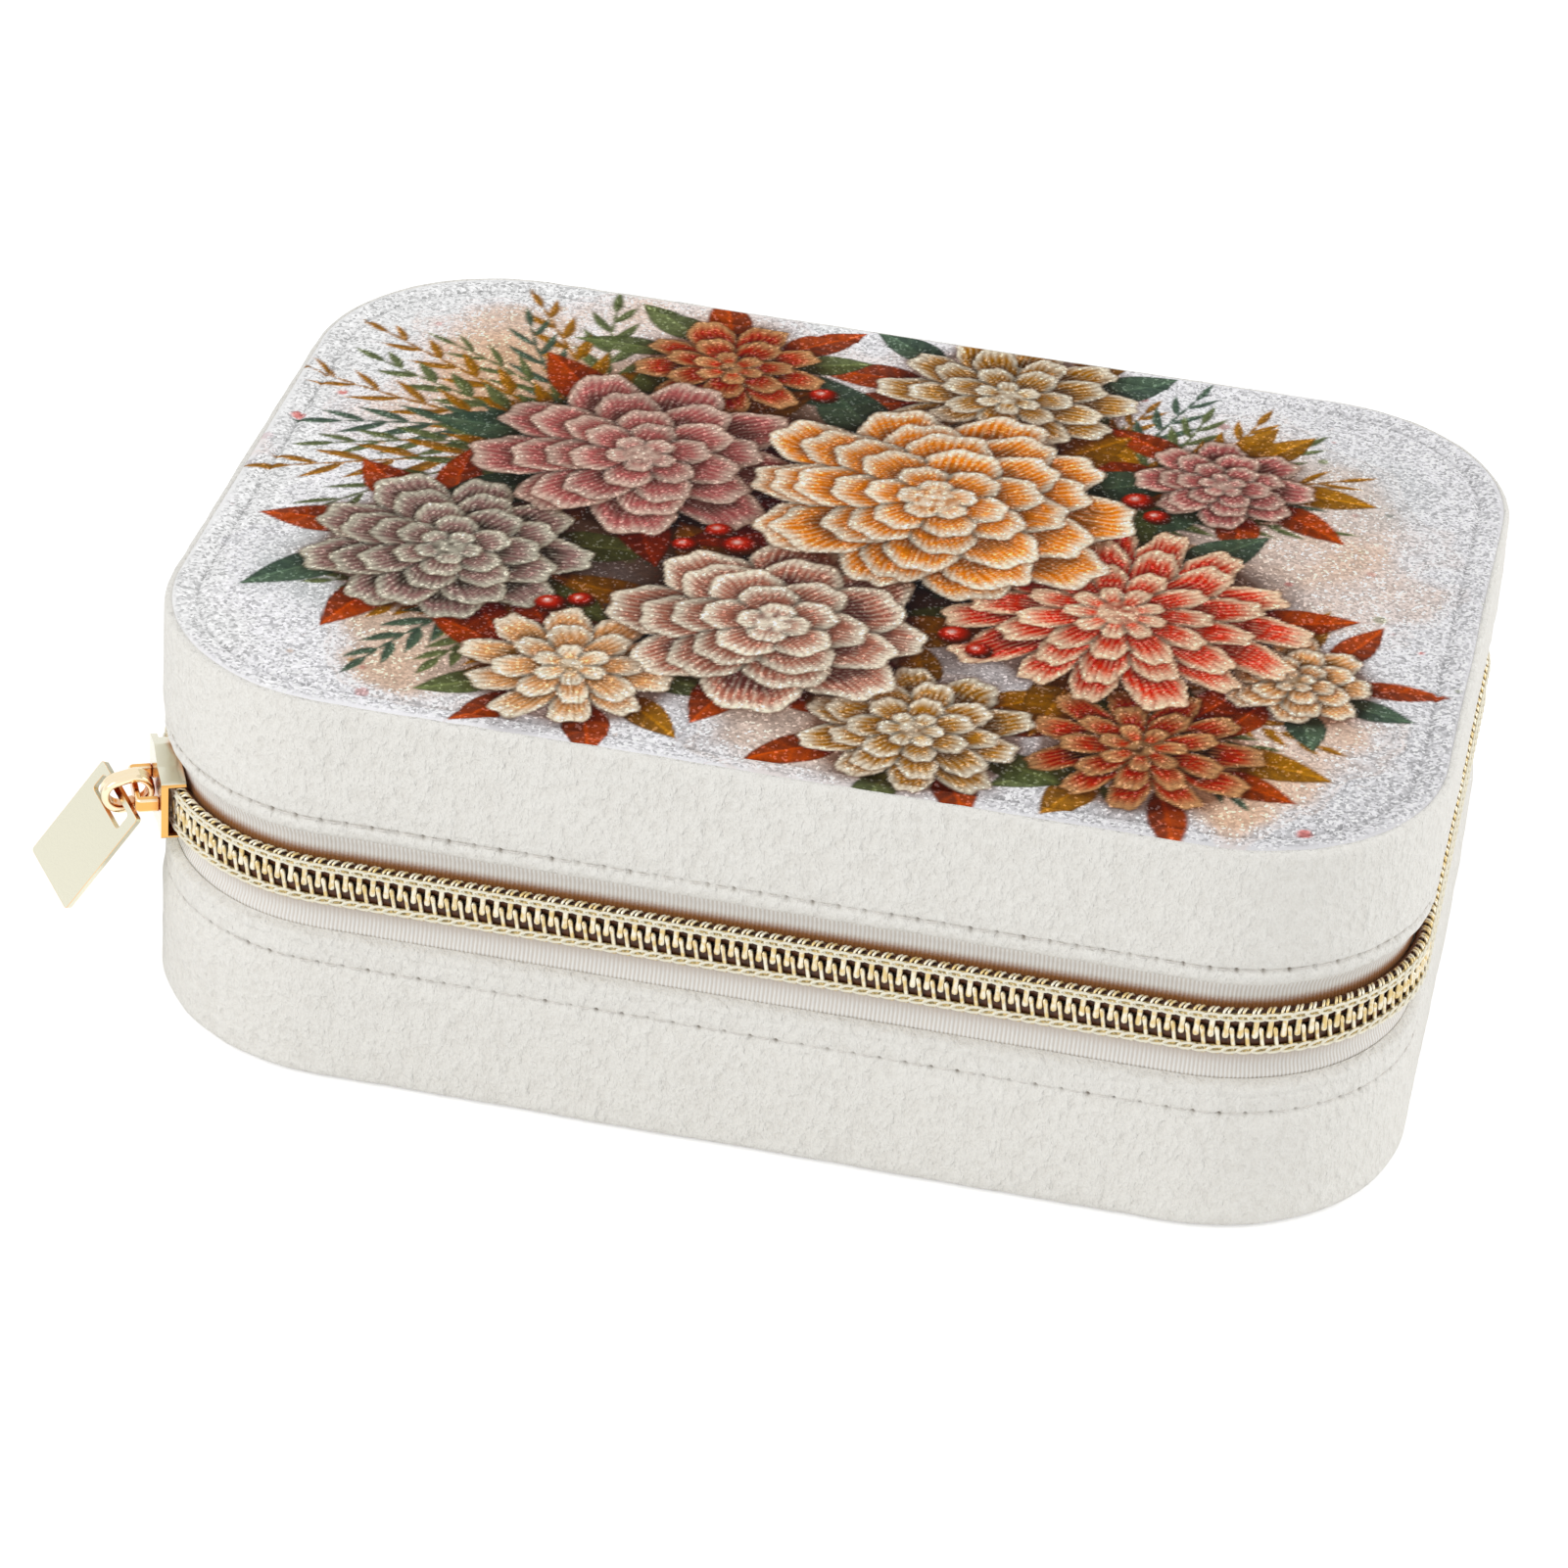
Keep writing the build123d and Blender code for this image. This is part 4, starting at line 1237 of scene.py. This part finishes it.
class JEWELRYBOX_OT_printed_top(bpy.types.Operator):
    """Printed glitter cloth over the lid's foam"""

    bl_idname = "jewelry_box.printed_top"
    bl_label = "Printed top"

    def execute(self, context):
        look = context.scene.jewelry_box_print
        top = context.scene.jewelry_box_velvet.top_radius / MM
        edge = top * (1 - math.cos(math.pi / 4))
        x, y = cloth_grid(edge, look.spacing / MM * (1))
        floor = PANEL_BOTTOM + CLOTH_UNDER + CLOTH_THICK
        points, faces = closed_sheet(x, y, cloth_height(x, y, top, look), floor)
        glitter = glitter_material("printed_glitter_cloth", look.grain / MM)
        shape, replaced = (points, faces), ["lid_top_panel"]
        piece = make_piece("printed_top", shape, glitter, "lid", replaced)
        colours, bare = painted_cloth(points[:, 0], points[:, 1], look)
        set_layer(piece, "print", colours)
        set_layer(piece, "glitter", bare)
        return {"FINISHED"}


# Zip
class Zip:
    """The zip's course and the places of its teeth."""

    def __init__(self):
        self.look = bpy.context.scene.jewelry_box_zip
        tape_radius = corner_radius() - TAPE_INSET
        self.depth = TEETH_PROUD + TAPE_INSET
        radius = tape_radius + self.depth / 2
        axis_y = corner_axes()[1]
        end = math.degrees(math.asin((TAPE_END_Y - axis_y) / tape_radius))
        self.course = Course(radius, end, -180 - end)
        self.start = radius * (math.radians(end) - self.look.end_angle)
        self.length = self.course.length - 2 * self.start
        front_left = self.course.runs[4]
        self.slider = front_left + radius * (math.radians(270) - self.look.slider_angle)

    def parted(self, run):
        """How far a row stands off its meshed place: nothing before the slider, all after."""
        begin = self.slider - self.look.parting_start / MM
        length = self.look.parting_length / MM
        return self.look.parting / MM * ease(run, begin, begin + length)

    def teeth(self, side):
        """Runs of a row's teeth. The lid's row starts half a pitch after the base's."""
        pitch = self.look.pitch / MM
        first = self.look.first_tooth / MM + (pitch / 2 if side > 0 else 0)
        count = int((self.length - first - self.look.last_space / MM) / pitch) + 1
        return self.start + first + np.arange(count) * pitch

    def heights(self, run, side):
        """Height of a row's own zero line."""
        return ZIP_HEIGHT + side * self.parted(run)


def coil_shape(depth, width, lean):
    """One turn of the coil: a leg with a head that meshes, in front, and two strands that go
    over the row's edge to the back, slanted along it. Stations of the leg run down from its
    root, and those of a strand from the leg's top to the back."""
    back = -depth / 2
    rise = np.array([2.7, 2.0, 1.2, 0.5, 0.1, -0.3, -0.62, -0.8])
    wide = width * np.array([0.95, 1.0, 0.95, 0.92, 1.05, 1.15, 1.0, 0.4])[:, None]
    thick = np.array([0.28, 0.30, 0.30, 0.32, 0.36, 0.38, 0.34, 0.14])[:, None]
    line = np.stack([lean * (1.0 - rise) / 2, np.full(8, back + depth - 0.4), rise], axis=-1)
    leg = swept(line, thick * (0, 1, 0), wide * (1, 0, 0), 8)
    along = np.array([0.35, 0.25, 0.0, -0.32, -0.5])
    out = back + depth * np.array([0.93, 0.86, 0.7, 0.5, 0.36])
    rise = np.array([2.55, 3.0, 3.22, 3.12, 2.65])
    line = np.stack([along, out, rise], axis=-1)
    wire = np.full((5, 1), 0.2)
    shifts = (-0.3, 0.26)
    across, up = wire * (0, 0, 1), wire * (-0.9, 0.43, 0)
    return joined(leg, *(swept(line + (shift, 0, 0), across, up, 6) for shift in shifts))


def chain_link_shape(depth, pitch):
    """One loop of the chain stitch: a flat oval ring of thread in front of the coil's edge,
    tipped a little so that each loop lies over the next."""
    count, flat, wire = 14, 0.19, 0.2
    long, tall = 0.64 * pitch, 0.39
    tip_out, tip_up = 0.12, 0.1
    angles = whole_turn(count)
    x, z = np.cos(angles), np.sin(angles)
    out = depth / 2 - 0.12 + tip_out * x
    line = np.stack([long * x, out, CHAIN_RISE + tall * z + tip_up * x], axis=-1)
    outward = np.stack([x, 0 * x, z], axis=-1)
    return swept(line, flat * outward, np.tile([0, wire, 0], (count, 1)), 6, ring=True)


def cord_along(path, side, first, last, out, rise, half_out, half_rise):
    """A closed tube along the course, an ellipse across, that follows its row's height."""
    count = math.ceil((last - first) / CORD_STEP) + 1
    run = np.linspace(first, last, count)[:, None]
    angles = whole_turn(CORD_SIDES)
    height = path.heights(run, side) + side * rise + half_rise * np.sin(angles)
    points = path.course.points(run, out + half_out * np.cos(angles), height)
    return points.reshape(-1, 3), tube_faces(count, CORD_SIDES)


def ribbed_tape(path, bottom, top, edge):
    """Tape with upright ribs: its outer face stands out by a cosine of the run, swells where it
    comes out of the velvet, and a thin edge and a flat back close it. With the shape comes how
    far each point lies up a rib, from 0 to 1, or -1 on the back."""
    rib = path.look.rib_pitch / MM
    count = math.ceil(path.course.length / rib) * RIB_STEPS + 1
    run = np.linspace(0, path.course.length, count)[:, None]
    height = np.concatenate([np.linspace(bottom, top, TAPE_ROWS), [top, bottom]])
    ribs = path.look.rib_height / MM * np.cos(2 * np.pi * run / rib)
    wave = 0.036 * blotches(run, height, 11, 8, 61)
    selvedge = 0.3
    weight = np.array([selvedge] + [1] * (TAPE_ROWS - 2) + [selvedge, 0, 0])
    back = np.array([0] * TAPE_ROWS + [1, 1])
    swell = ridge(height - edge, width=0.85, height=0.55)
    face = -path.depth / 2 - 0.04
    out = face + (ribs + wave + swell) * weight - TAPE_THICK * back
    points = path.course.points(run, out, height).reshape(-1, 3)
    raised = swing(run / rib) * (1 - back) - back
    return (points, tube_faces(count, len(height))), raised.ravel()


class JEWELRYBOX_OT_zip_rows(bpy.types.Operator):
    """Both rows of the coil zip, with their cords and chain stitches"""

    bl_idname = "jewelry_box.zip_rows"
    bl_label = "Zip rows"

    def execute(self, context):
        look = context.scene.jewelry_box_zip
        path = Zip()
        coil = coil_material("gold_coil", look.coil_light, look.coil, look.coil_depth)
        # The core's dark colour is painted shade in the coil's holes
        core = plain_material("coil_core", look.core, dimmed(look.core, 0.45), 0.8, 0.45)
        thread = plain_material("chain_thread", look.chain_thread, look.coil_light, 0.7, 0.5)
        # The chain bed's dark patches are painted shade between and behind the chain stitch's loops
        shaded_bed = plain_material("chain_bed", look.coil, dimmed(look.coil, 0.35), 0.4, 0.7)
        turns = {-1: coil_shape(path.depth, 0.31, 0.36), 1: coil_shape(path.depth, 0.4, 0.05)}
        link = chain_link_shape(path.depth, look.pitch / MM)
        # Place out of the wall and up from the row, and half the size both ways, of each cord
        cords = (
            ("coil_core", core, 0.9 - path.depth / 2, 1.6, 0.75, 1.3),
            ("chain_bed", shaded_bed, path.depth / 2 - 0.42, CHAIN_RISE, 0.32, 0.46),
        )
        overrun = 0.8
        for body, side in (("base", -1), ("lid", 1)):
            runs = path.teeth(side)
            heights = path.heights(runs, side)
            ends = runs[0] - overrun, runs[-1] + overrun
            shape = repeated(path.course, runs, heights, turns[side], side)
            replaced = [f"{body}_zip_teeth"]
            make_piece(f"{body}_coil", shape, coil, body, replaced)
            shape = repeated(path.course, runs, heights, link, side)
            make_piece(f"{body}_chain_stitch", shape, thread, body)
            for label, material, *section in cords:
                shape = cord_along(path, side, *ends, *section)
                make_piece(f"{body}_{label}", shape, material, body)
        return {"FINISHED"}


class JEWELRYBOX_OT_zip_tapes(bpy.types.Operator):
    """Ribbed tapes that hold the rows, and the fabric hinge between their ends"""

    bl_idname = "jewelry_box.zip_tapes"
    bl_label = "Zip tapes"

    def execute(self, context):
        look = context.scene.jewelry_box_zip
        path = Zip()
        # Bottom, top, the velvet's edge, the painted shade, and how far from the zip it is full and
        # gone
        tapes = (
            ("base", TAPE_BOTTOM, BASE_TAPE_EDGE, BASE_EDGE + 0.2, look.tape_shade, 4.0, 6.6),
            ("lid", LID_TAPE_EDGE, TAPE_TOP, LID_EDGE - 0.2, look.tape_depth, 2.8, 4.5),
        )
        for body, bottom, top, edge, shade, near, far in tapes:
            cloth = tape_material(f"{body}_tape_weave", look.tape, look.tape_rib, shade)
            shape, ribs = ribbed_tape(path, bottom, top, edge)
            name, replaced = f"{body}_ribbed_tape", [f"{body}_zip_tape"]
            tape = make_piece(name, shape, cloth, body, replaced)
            off = np.abs(shape[0][:, 2] - ZIP_HEIGHT)
            # How far up a rib each point lies, for the painted highlight and shade of the ribs
            set_layer(tape, "rib", ribs)
            # Painted shade beside the coil, on the tape's front only
            set_layer(tape, "shade", np.clip((far - off) / (far - near), 0, 1) * (ribs >= 0))
        self.make_hinge(bpy.data.materials["ivory_velvet"])
        return {"FINISHED"}

    def make_hinge(self, velvet):
        """Fabric round the back between the ends of the tapes, with a crease at the fold."""
        course = Course(corner_radius() - TAPE_INSET)
        axis_x, axis_y = corner_axes()
        end = math.acos((TAPE_END_Y + HINGE_SPACE - axis_y) / course.radius)
        half = axis_x + course.radius * end
        run = course.length - axis_x + np.linspace(-half, half, HINGE_COLUMNS)[:, None]
        face = np.linspace(TAPE_BOTTOM, TAPE_TOP, HINGE_ROWS)
        height = np.concatenate([face, face[::-1][::4]])
        inner = np.arange(len(height)) >= HINGE_ROWS
        crease = ridge(height - ZIP_HEIGHT, width=0.7, height=0.3)
        wave = 0.10 * blotches(run, height, 9, 7, 83)
        out = -0.03 + (wave - crease) * (1 - inner) - HINGE_THICK * inner
        points = course.points(run, out, height).reshape(-1, 3)
        shape = points, tube_faces(len(run), len(height))
        replaced = ["base_hinge_strip", "lid_hinge_strip"]
        hinge = make_piece("fabric_hinge", shape, velvet, None, replaced)
        pivot_y = (HALF_DEPTH - TAPE_INSET) * MM
        end = (0, pivot_y, (ZIP_HEIGHT + HINGE_BEND) * MM)
        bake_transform(hinge)


class JEWELRYBOX_OT_slider(bpy.types.Operator):
    """Polished slider, bridge, link, tag and stops"""

    bl_idname = "jewelry_box.slider"
    bl_label = "Slider and pull"

    def execute(self, context):
        look = context.scene.jewelry_box_zip
        gold = plated_material("polished_gold", look.gold, look.gold_depth)
        amber = plated_material("amber_gold", look.gold_warm, look.gold_depth, 0.16)
        ring = plated_material("ring_gold", look.gold_ring, look.gold_depth, 0.14)
        along = np.array([-math.sin(look.slider_angle), math.cos(look.slider_angle), 0])
        # The amber finish: painted warm reflection on the slider's edges and ends and the tag's edges,
        # painted shade on the bridge
        eased_copy("gold_slider", "slider_body", 0.24, (gold, amber), "slider", along)
        eased_copy("gold_bridge", "slider_bridge", 0.25, (amber, ring), "slider")
        eased_copy("gold_tag", "pull_tag", 0.2, (gold, amber), "pull_tag")
        for body in ("base", "lid"):
            eased_copy(f"gold_{body}_stops", f"{body}_zip_stops", 0.3, (gold, ring), body)
        self.make_link(look, along, ring)
        return {"FINISHED"}

    def make_link(self, look, along, metal):
        """The link as a doubled band: a rounded section with a groove round its middle, carried
        round the CAD link's own line, two half circles joined by straights."""
        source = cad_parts["pull_link"].data
        points = np.empty(3 * len(source.vertices))
        source.vertices.foreach_get("co", points)
        outward = np.append(towards(look.slider_angle), 0)
        ahead = outward * math.cos(look.link_tilt) - np.array([0, 0, math.sin(look.link_tilt)])
        axes = np.stack([ahead, np.cross(along, ahead), along])
        spread = points.reshape(-1, 3) @ axes.T / MM
        middle = (spread.min(0) + spread.max(0)) / 2
        reach, rise, wire = (spread.max(0) - spread.min(0)) / 2
        turned = whole_turn(LINK_STATIONS)[:, None] + np.pi / LINK_STATIONS
        section = whole_turn(LINK_SIDES)
        wide = look.link_width / MM / 2 * squared_off(np.sin(section), 0.6)
        thick = wire * squared_off(np.cos(section), 0.6) * (1 - ridge(wide, width=0.2, height=0.4))
        radius = rise - wire + thick
        across = radius * np.cos(turned) + (reach - rise) * np.sign(np.cos(turned))
        upward = radius * np.sin(turned)
        band = np.stack([across, upward, np.broadcast_to(wide, across.shape)], axis=-1) + middle
        faces = [grid_faces(LINK_STATIONS, LINK_SIDES, True, True)[:, ::-1]]
        shape = (band @ axes).reshape(-1, 3), faces
        make_piece("gold_link", shape, metal, "pull_link", ["pull_link"])


# Inside
def ring_roll(name, node_name, material):
    """A padded roll: a round-topped section carried along the roll, shrunk to a point at both
    ends by a flat power curve, with its left end cut back where the tray's corner turns."""
    left, front, bottom = (low(node_name, axis) for axis in "xyz")
    right, back, top = (high(node_name, axis) for axis in "xyz")
    seat = bottom + 0.42 * (top - bottom)
    half_wide, slack_wide, slack_tall = (back - front) / 2, 0.97, 0.98
    part = np.sin(np.linspace(-1, 1, ROLL_RINGS) * np.pi / 2)[:, None]
    angles = whole_turn(ROLL_SIDES)
    shrink = (1 - np.abs(part) ** 9) ** (1 / 3)
    sine = np.sin(angles)
    tall = np.where(sine > 0, sine, squared_off(sine, 0.45))
    wide = squared_off(np.cos(angles), 0.7)
    height = np.where(tall > 0, top - seat, seat - bottom) * tall
    along = part * (right - left) / 2 + 100
    wrinkles = 0.12 * blotches(along, angles * half_wide, 2.4, 5.0, 17) * (tall > 0.1)
    y = (front + back) / 2 + slack_wide * half_wide * wide * shrink
    z = seat + (slack_tall * height + wrinkles) * shrink
    radius = corner_radius() - (HALF_WIDTH + left)
    past = np.clip(corner_radius() - HALF_DEPTH - y, 0, radius)
    start = left + radius - np.sqrt(radius**2 - past**2)
    x = start + (right - start) * (part + 1) / 2
    points = np.stack([x, y, z], axis=-1)
    rings = ROLL_RINGS - 2
    rim = np.arange(ROLL_SIDES)
    ahead = np.roll(rim, -1)
    last = (rings - 1) * ROLL_SIDES
    pole = np.full(ROLL_SIDES, rings * ROLL_SIDES)
    left_fan = np.stack([ahead, rim, pole], axis=-1)
    right_fan = np.stack([last + rim, last + ahead, pole + 1], axis=-1)
    faces = [grid_faces(rings, ROLL_SIDES, round_columns=True), left_fan, right_fan]
    shape = np.concatenate([points[1:-1].reshape(-1, 3), points[[0, -1], 0]]), faces
    roll = make_piece(name, shape, material, "base", [node_name])


class JEWELRYBOX_OT_inside(bpy.types.Operator):
    """Lined tray and lid with their boards, dividers, ring rolls and mirror"""

    bl_idname = "jewelry_box.inside"
    bl_label = "Inside"

    def execute(self, context):
        look = context.scene.jewelry_box_inside
        lining = velvet_material("lining_velvet", look.lining, look.lining_shade, look.board)
        board = plain_material("grey_board", look.board, dimmed(look.board, 0.85), 2.0)
        foam = plain_material("soft_foam", look.foam, dimmed(look.foam, 0.9), 1.2)
        finishes = {
            "base_shell": board,
            "lid_shell": board,
            "lid_foam_pad": foam,
            "ring_roll_bed": lining,
            "mirror": mirror_material("silvered_glass", look.glass),
        }
        for node_name, material in finishes.items():
            dress(node_name, material)
        width = look.cushion_rounding / MM
        cushions = (
            ("tray_lining", "base_lining", "base"),
            ("ceiling_lining", "lid_lining", "lid"),
            ("padded_surround", "mirror_surround", "lid"),
            ("padded_divider_long", "divider_long", "base"),
            ("padded_divider_left", "divider_left", "base"),
            ("padded_divider_right", "divider_right", "base"),
        )
        for name, node_name, body in cushions:
            eased_copy(name, node_name, width, (lining,), body)
        for number in range(1, 7):
            ring_roll(f"padded_ring_roll_{number}", f"ring_roll_{number}", lining)
        return {"FINISHED"}


# Stage
WHITE = (1, 1, 1, 1)


def seen_directly(tree, *rays):
    """1 for rays of the kinds named, such as the camera's own, and 0 for all others."""
    path = node(tree, "ShaderNodeLightPath")
    seen = path.outputs[rays[0]]
    for ray in rays[1:]:
        seen = math_node(tree, "MAXIMUM", seen, path.outputs[ray])
    return seen


def either(tree, chosen, first, second):
    """The second shader where it is chosen, and otherwise the first."""
    return node(tree, "ShaderNodeMixShader", {0: chosen, 1: first, 2: second}).outputs[0]


class JEWELRYBOX_OT_stage(bpy.types.Operator):
    """Pale floor, soft studio light and the camera"""

    bl_idname = "jewelry_box.stage"
    bl_label = "Stage"

    def execute(self, context):
        look = context.scene.jewelry_box_stage
        self.make_floor(look)
        self.make_sky(look)
        self.make_lamp("key_lamp", (-0.62, -0.66, 0.72), 0.7, look.key)
        self.make_lamp("fill_lamp", (1.0, 0.25, 0.55), 0.8, look.fill)
        self.make_camera(look)
        context.scene.view_settings.view_transform = "Standard"
        return {"FINISHED"}

    def make_floor(self, look):
        """A wide square just under the box. The camera sees it brighter than it is lit."""
        half, gap, glow_strength = 4000.0, 0.05, 0.42
        corners = np.array([(-half, -half), (half, -half), (half, half), (-half, half)])
        corners = np.insert(corners, 2, -gap, axis=1)
        mesh = bpy.data.meshes.new("floor")
        mesh.from_pydata((corners * MM).tolist(), [], [(0, 1, 2, 3)])
        floor = new_object("floor", mesh)
        material, tree, shader = new_material("pale_floor", roughness=1.0, specular=0.0)
        shader.inputs["Base Color"].default_value = (*look.floor, 1)
        seen = seen_directly(tree, "Is Camera Ray", "Is Glossy Ray")
        glow = node(tree, "ShaderNodeEmission", {"Color": WHITE, "Strength": glow_strength})
        none = node(tree, "ShaderNodeEmission", {"Color": (0, 0, 0, 1), "Strength": 0.0})
        choice = either(tree, seen, none.outputs[0], glow.outputs[0])
        total = node(tree, "ShaderNodeAddShader", {0: shader.outputs[0], 1: choice})
        output = next(made for made in tree.nodes if made.type == "OUTPUT_MATERIAL")
        tree.links.new(total.outputs[0], output.inputs["Surface"])
        mesh.materials.append(material)

    def make_sky(self, look):
        """Even light from all round, white where it is seen, mirrored or seen through glass."""
        world = bpy.data.worlds.new("studio")
        world.use_nodes = True
        tree = world.node_tree
        tree.nodes.clear()
        seen = seen_directly(tree, "Is Camera Ray", "Is Glossy Ray", "Is Transmission Ray")
        lit = node(tree, "ShaderNodeBackground", {"Color": WHITE, "Strength": look.sky})
        white = node(tree, "ShaderNodeBackground", {"Color": WHITE, "Strength": 1.0})
        surface = either(tree, seen, lit.outputs[0], white.outputs[0])
        node(tree, "ShaderNodeOutputWorld", {"Surface": surface})
        bpy.context.scene.world = world

    def make_lamp(self, name, place, width, watts):
        """A square lamp that faces the box."""
        lamp = bpy.data.lights.new(name, "AREA")
        lamp.shape = "SQUARE"
        lamp.size = width
        lamp.energy = watts
        holder = new_object(name, lamp)
        holder.location = place
        holder.rotation_euler = (-Vector(place)).to_track_quat("-Z", "Y").to_euler()

    def make_camera(self, look):
        """The camera looks at its target from an azimuth and an elevation, rolled about its
        line of sight."""
        azimuth, elevation, roll = look.azimuth, look.elevation, look.roll
        level = math.cos(elevation)
        back = Vector((math.sin(azimuth) * level, -math.cos(azimuth) * level, math.sin(elevation)))
        right = Vector((0, 0, 1)).cross(back).normalized()
        up = back.cross(right)
        rolled_right = right * math.cos(roll) + up * math.sin(roll)
        rolled_up = up * math.cos(roll) - right * math.sin(roll)
        matrix = Matrix((rolled_right, rolled_up, back)).transposed().to_4x4()
        matrix.translation = Vector((look.target_x, 0, look.target_z)) + back * look.distance
        data = bpy.data.cameras.new("camera")
        data.sensor_width = 36.0
        data.lens = look.lens
        data.clip_start = 0.01
        data.clip_end = 20.0
        camera = new_object("camera", data)
        camera.matrix_world = matrix
        bpy.context.scene.camera = camera


OPERATORS = (
    JEWELRYBOX_OT_stage,
    JEWELRYBOX_OT_velvet_walls,
    JEWELRYBOX_OT_stitches,
    JEWELRYBOX_OT_printed_top,
    JEWELRYBOX_OT_zip_rows,
    JEWELRYBOX_OT_zip_tapes,
    JEWELRYBOX_OT_slider,
    JEWELRYBOX_OT_inside,
)


class JEWELRYBOX_PT_sidebar(bpy.types.Panel):
    """Sizes, colours and pieces of the jewelry box"""

    bl_idname = "JEWELRYBOX_PT_sidebar"
    bl_label = "Jewelry Box"
    bl_space_type = "VIEW_3D"
    bl_region_type = "UI"
    bl_category = "Jewelry Box"

    def draw(self, context):
        for operator in OPERATORS:
            self.layout.operator(operator.bl_idname)
        for name, group in GROUPS.items():
            box = self.layout.box()
            box.label(text=group.__doc__)
            for field in group.__annotations__:
                box.prop(getattr(context.scene, name), field)


CLASSES = (*GROUPS.values(), *OPERATORS, JEWELRYBOX_PT_sidebar)


def register():
    for made in CLASSES:
        bpy.utils.register_class(made)
    for name, group in GROUPS.items():
        setattr(bpy.types.Scene, name, bpy.props.PointerProperty(type=group))


def unregister():
    for name in GROUPS:
        delattr(bpy.types.Scene, name)
    for made in reversed(CLASSES):
        bpy.utils.unregister_class(made)


def main():
    """Makes every piece in order."""
    register()
    bpy.ops.jewelry_box.stage()
    bpy.ops.jewelry_box.velvet_walls()
    bpy.ops.jewelry_box.stitches()
    bpy.ops.jewelry_box.printed_top()
    bpy.ops.jewelry_box.zip_rows()
    bpy.ops.jewelry_box.zip_tapes()
    bpy.ops.jewelry_box.slider()
    bpy.ops.jewelry_box.inside()
    bpy.context.view_layer.update()


if __name__ == "__main__":
    main()
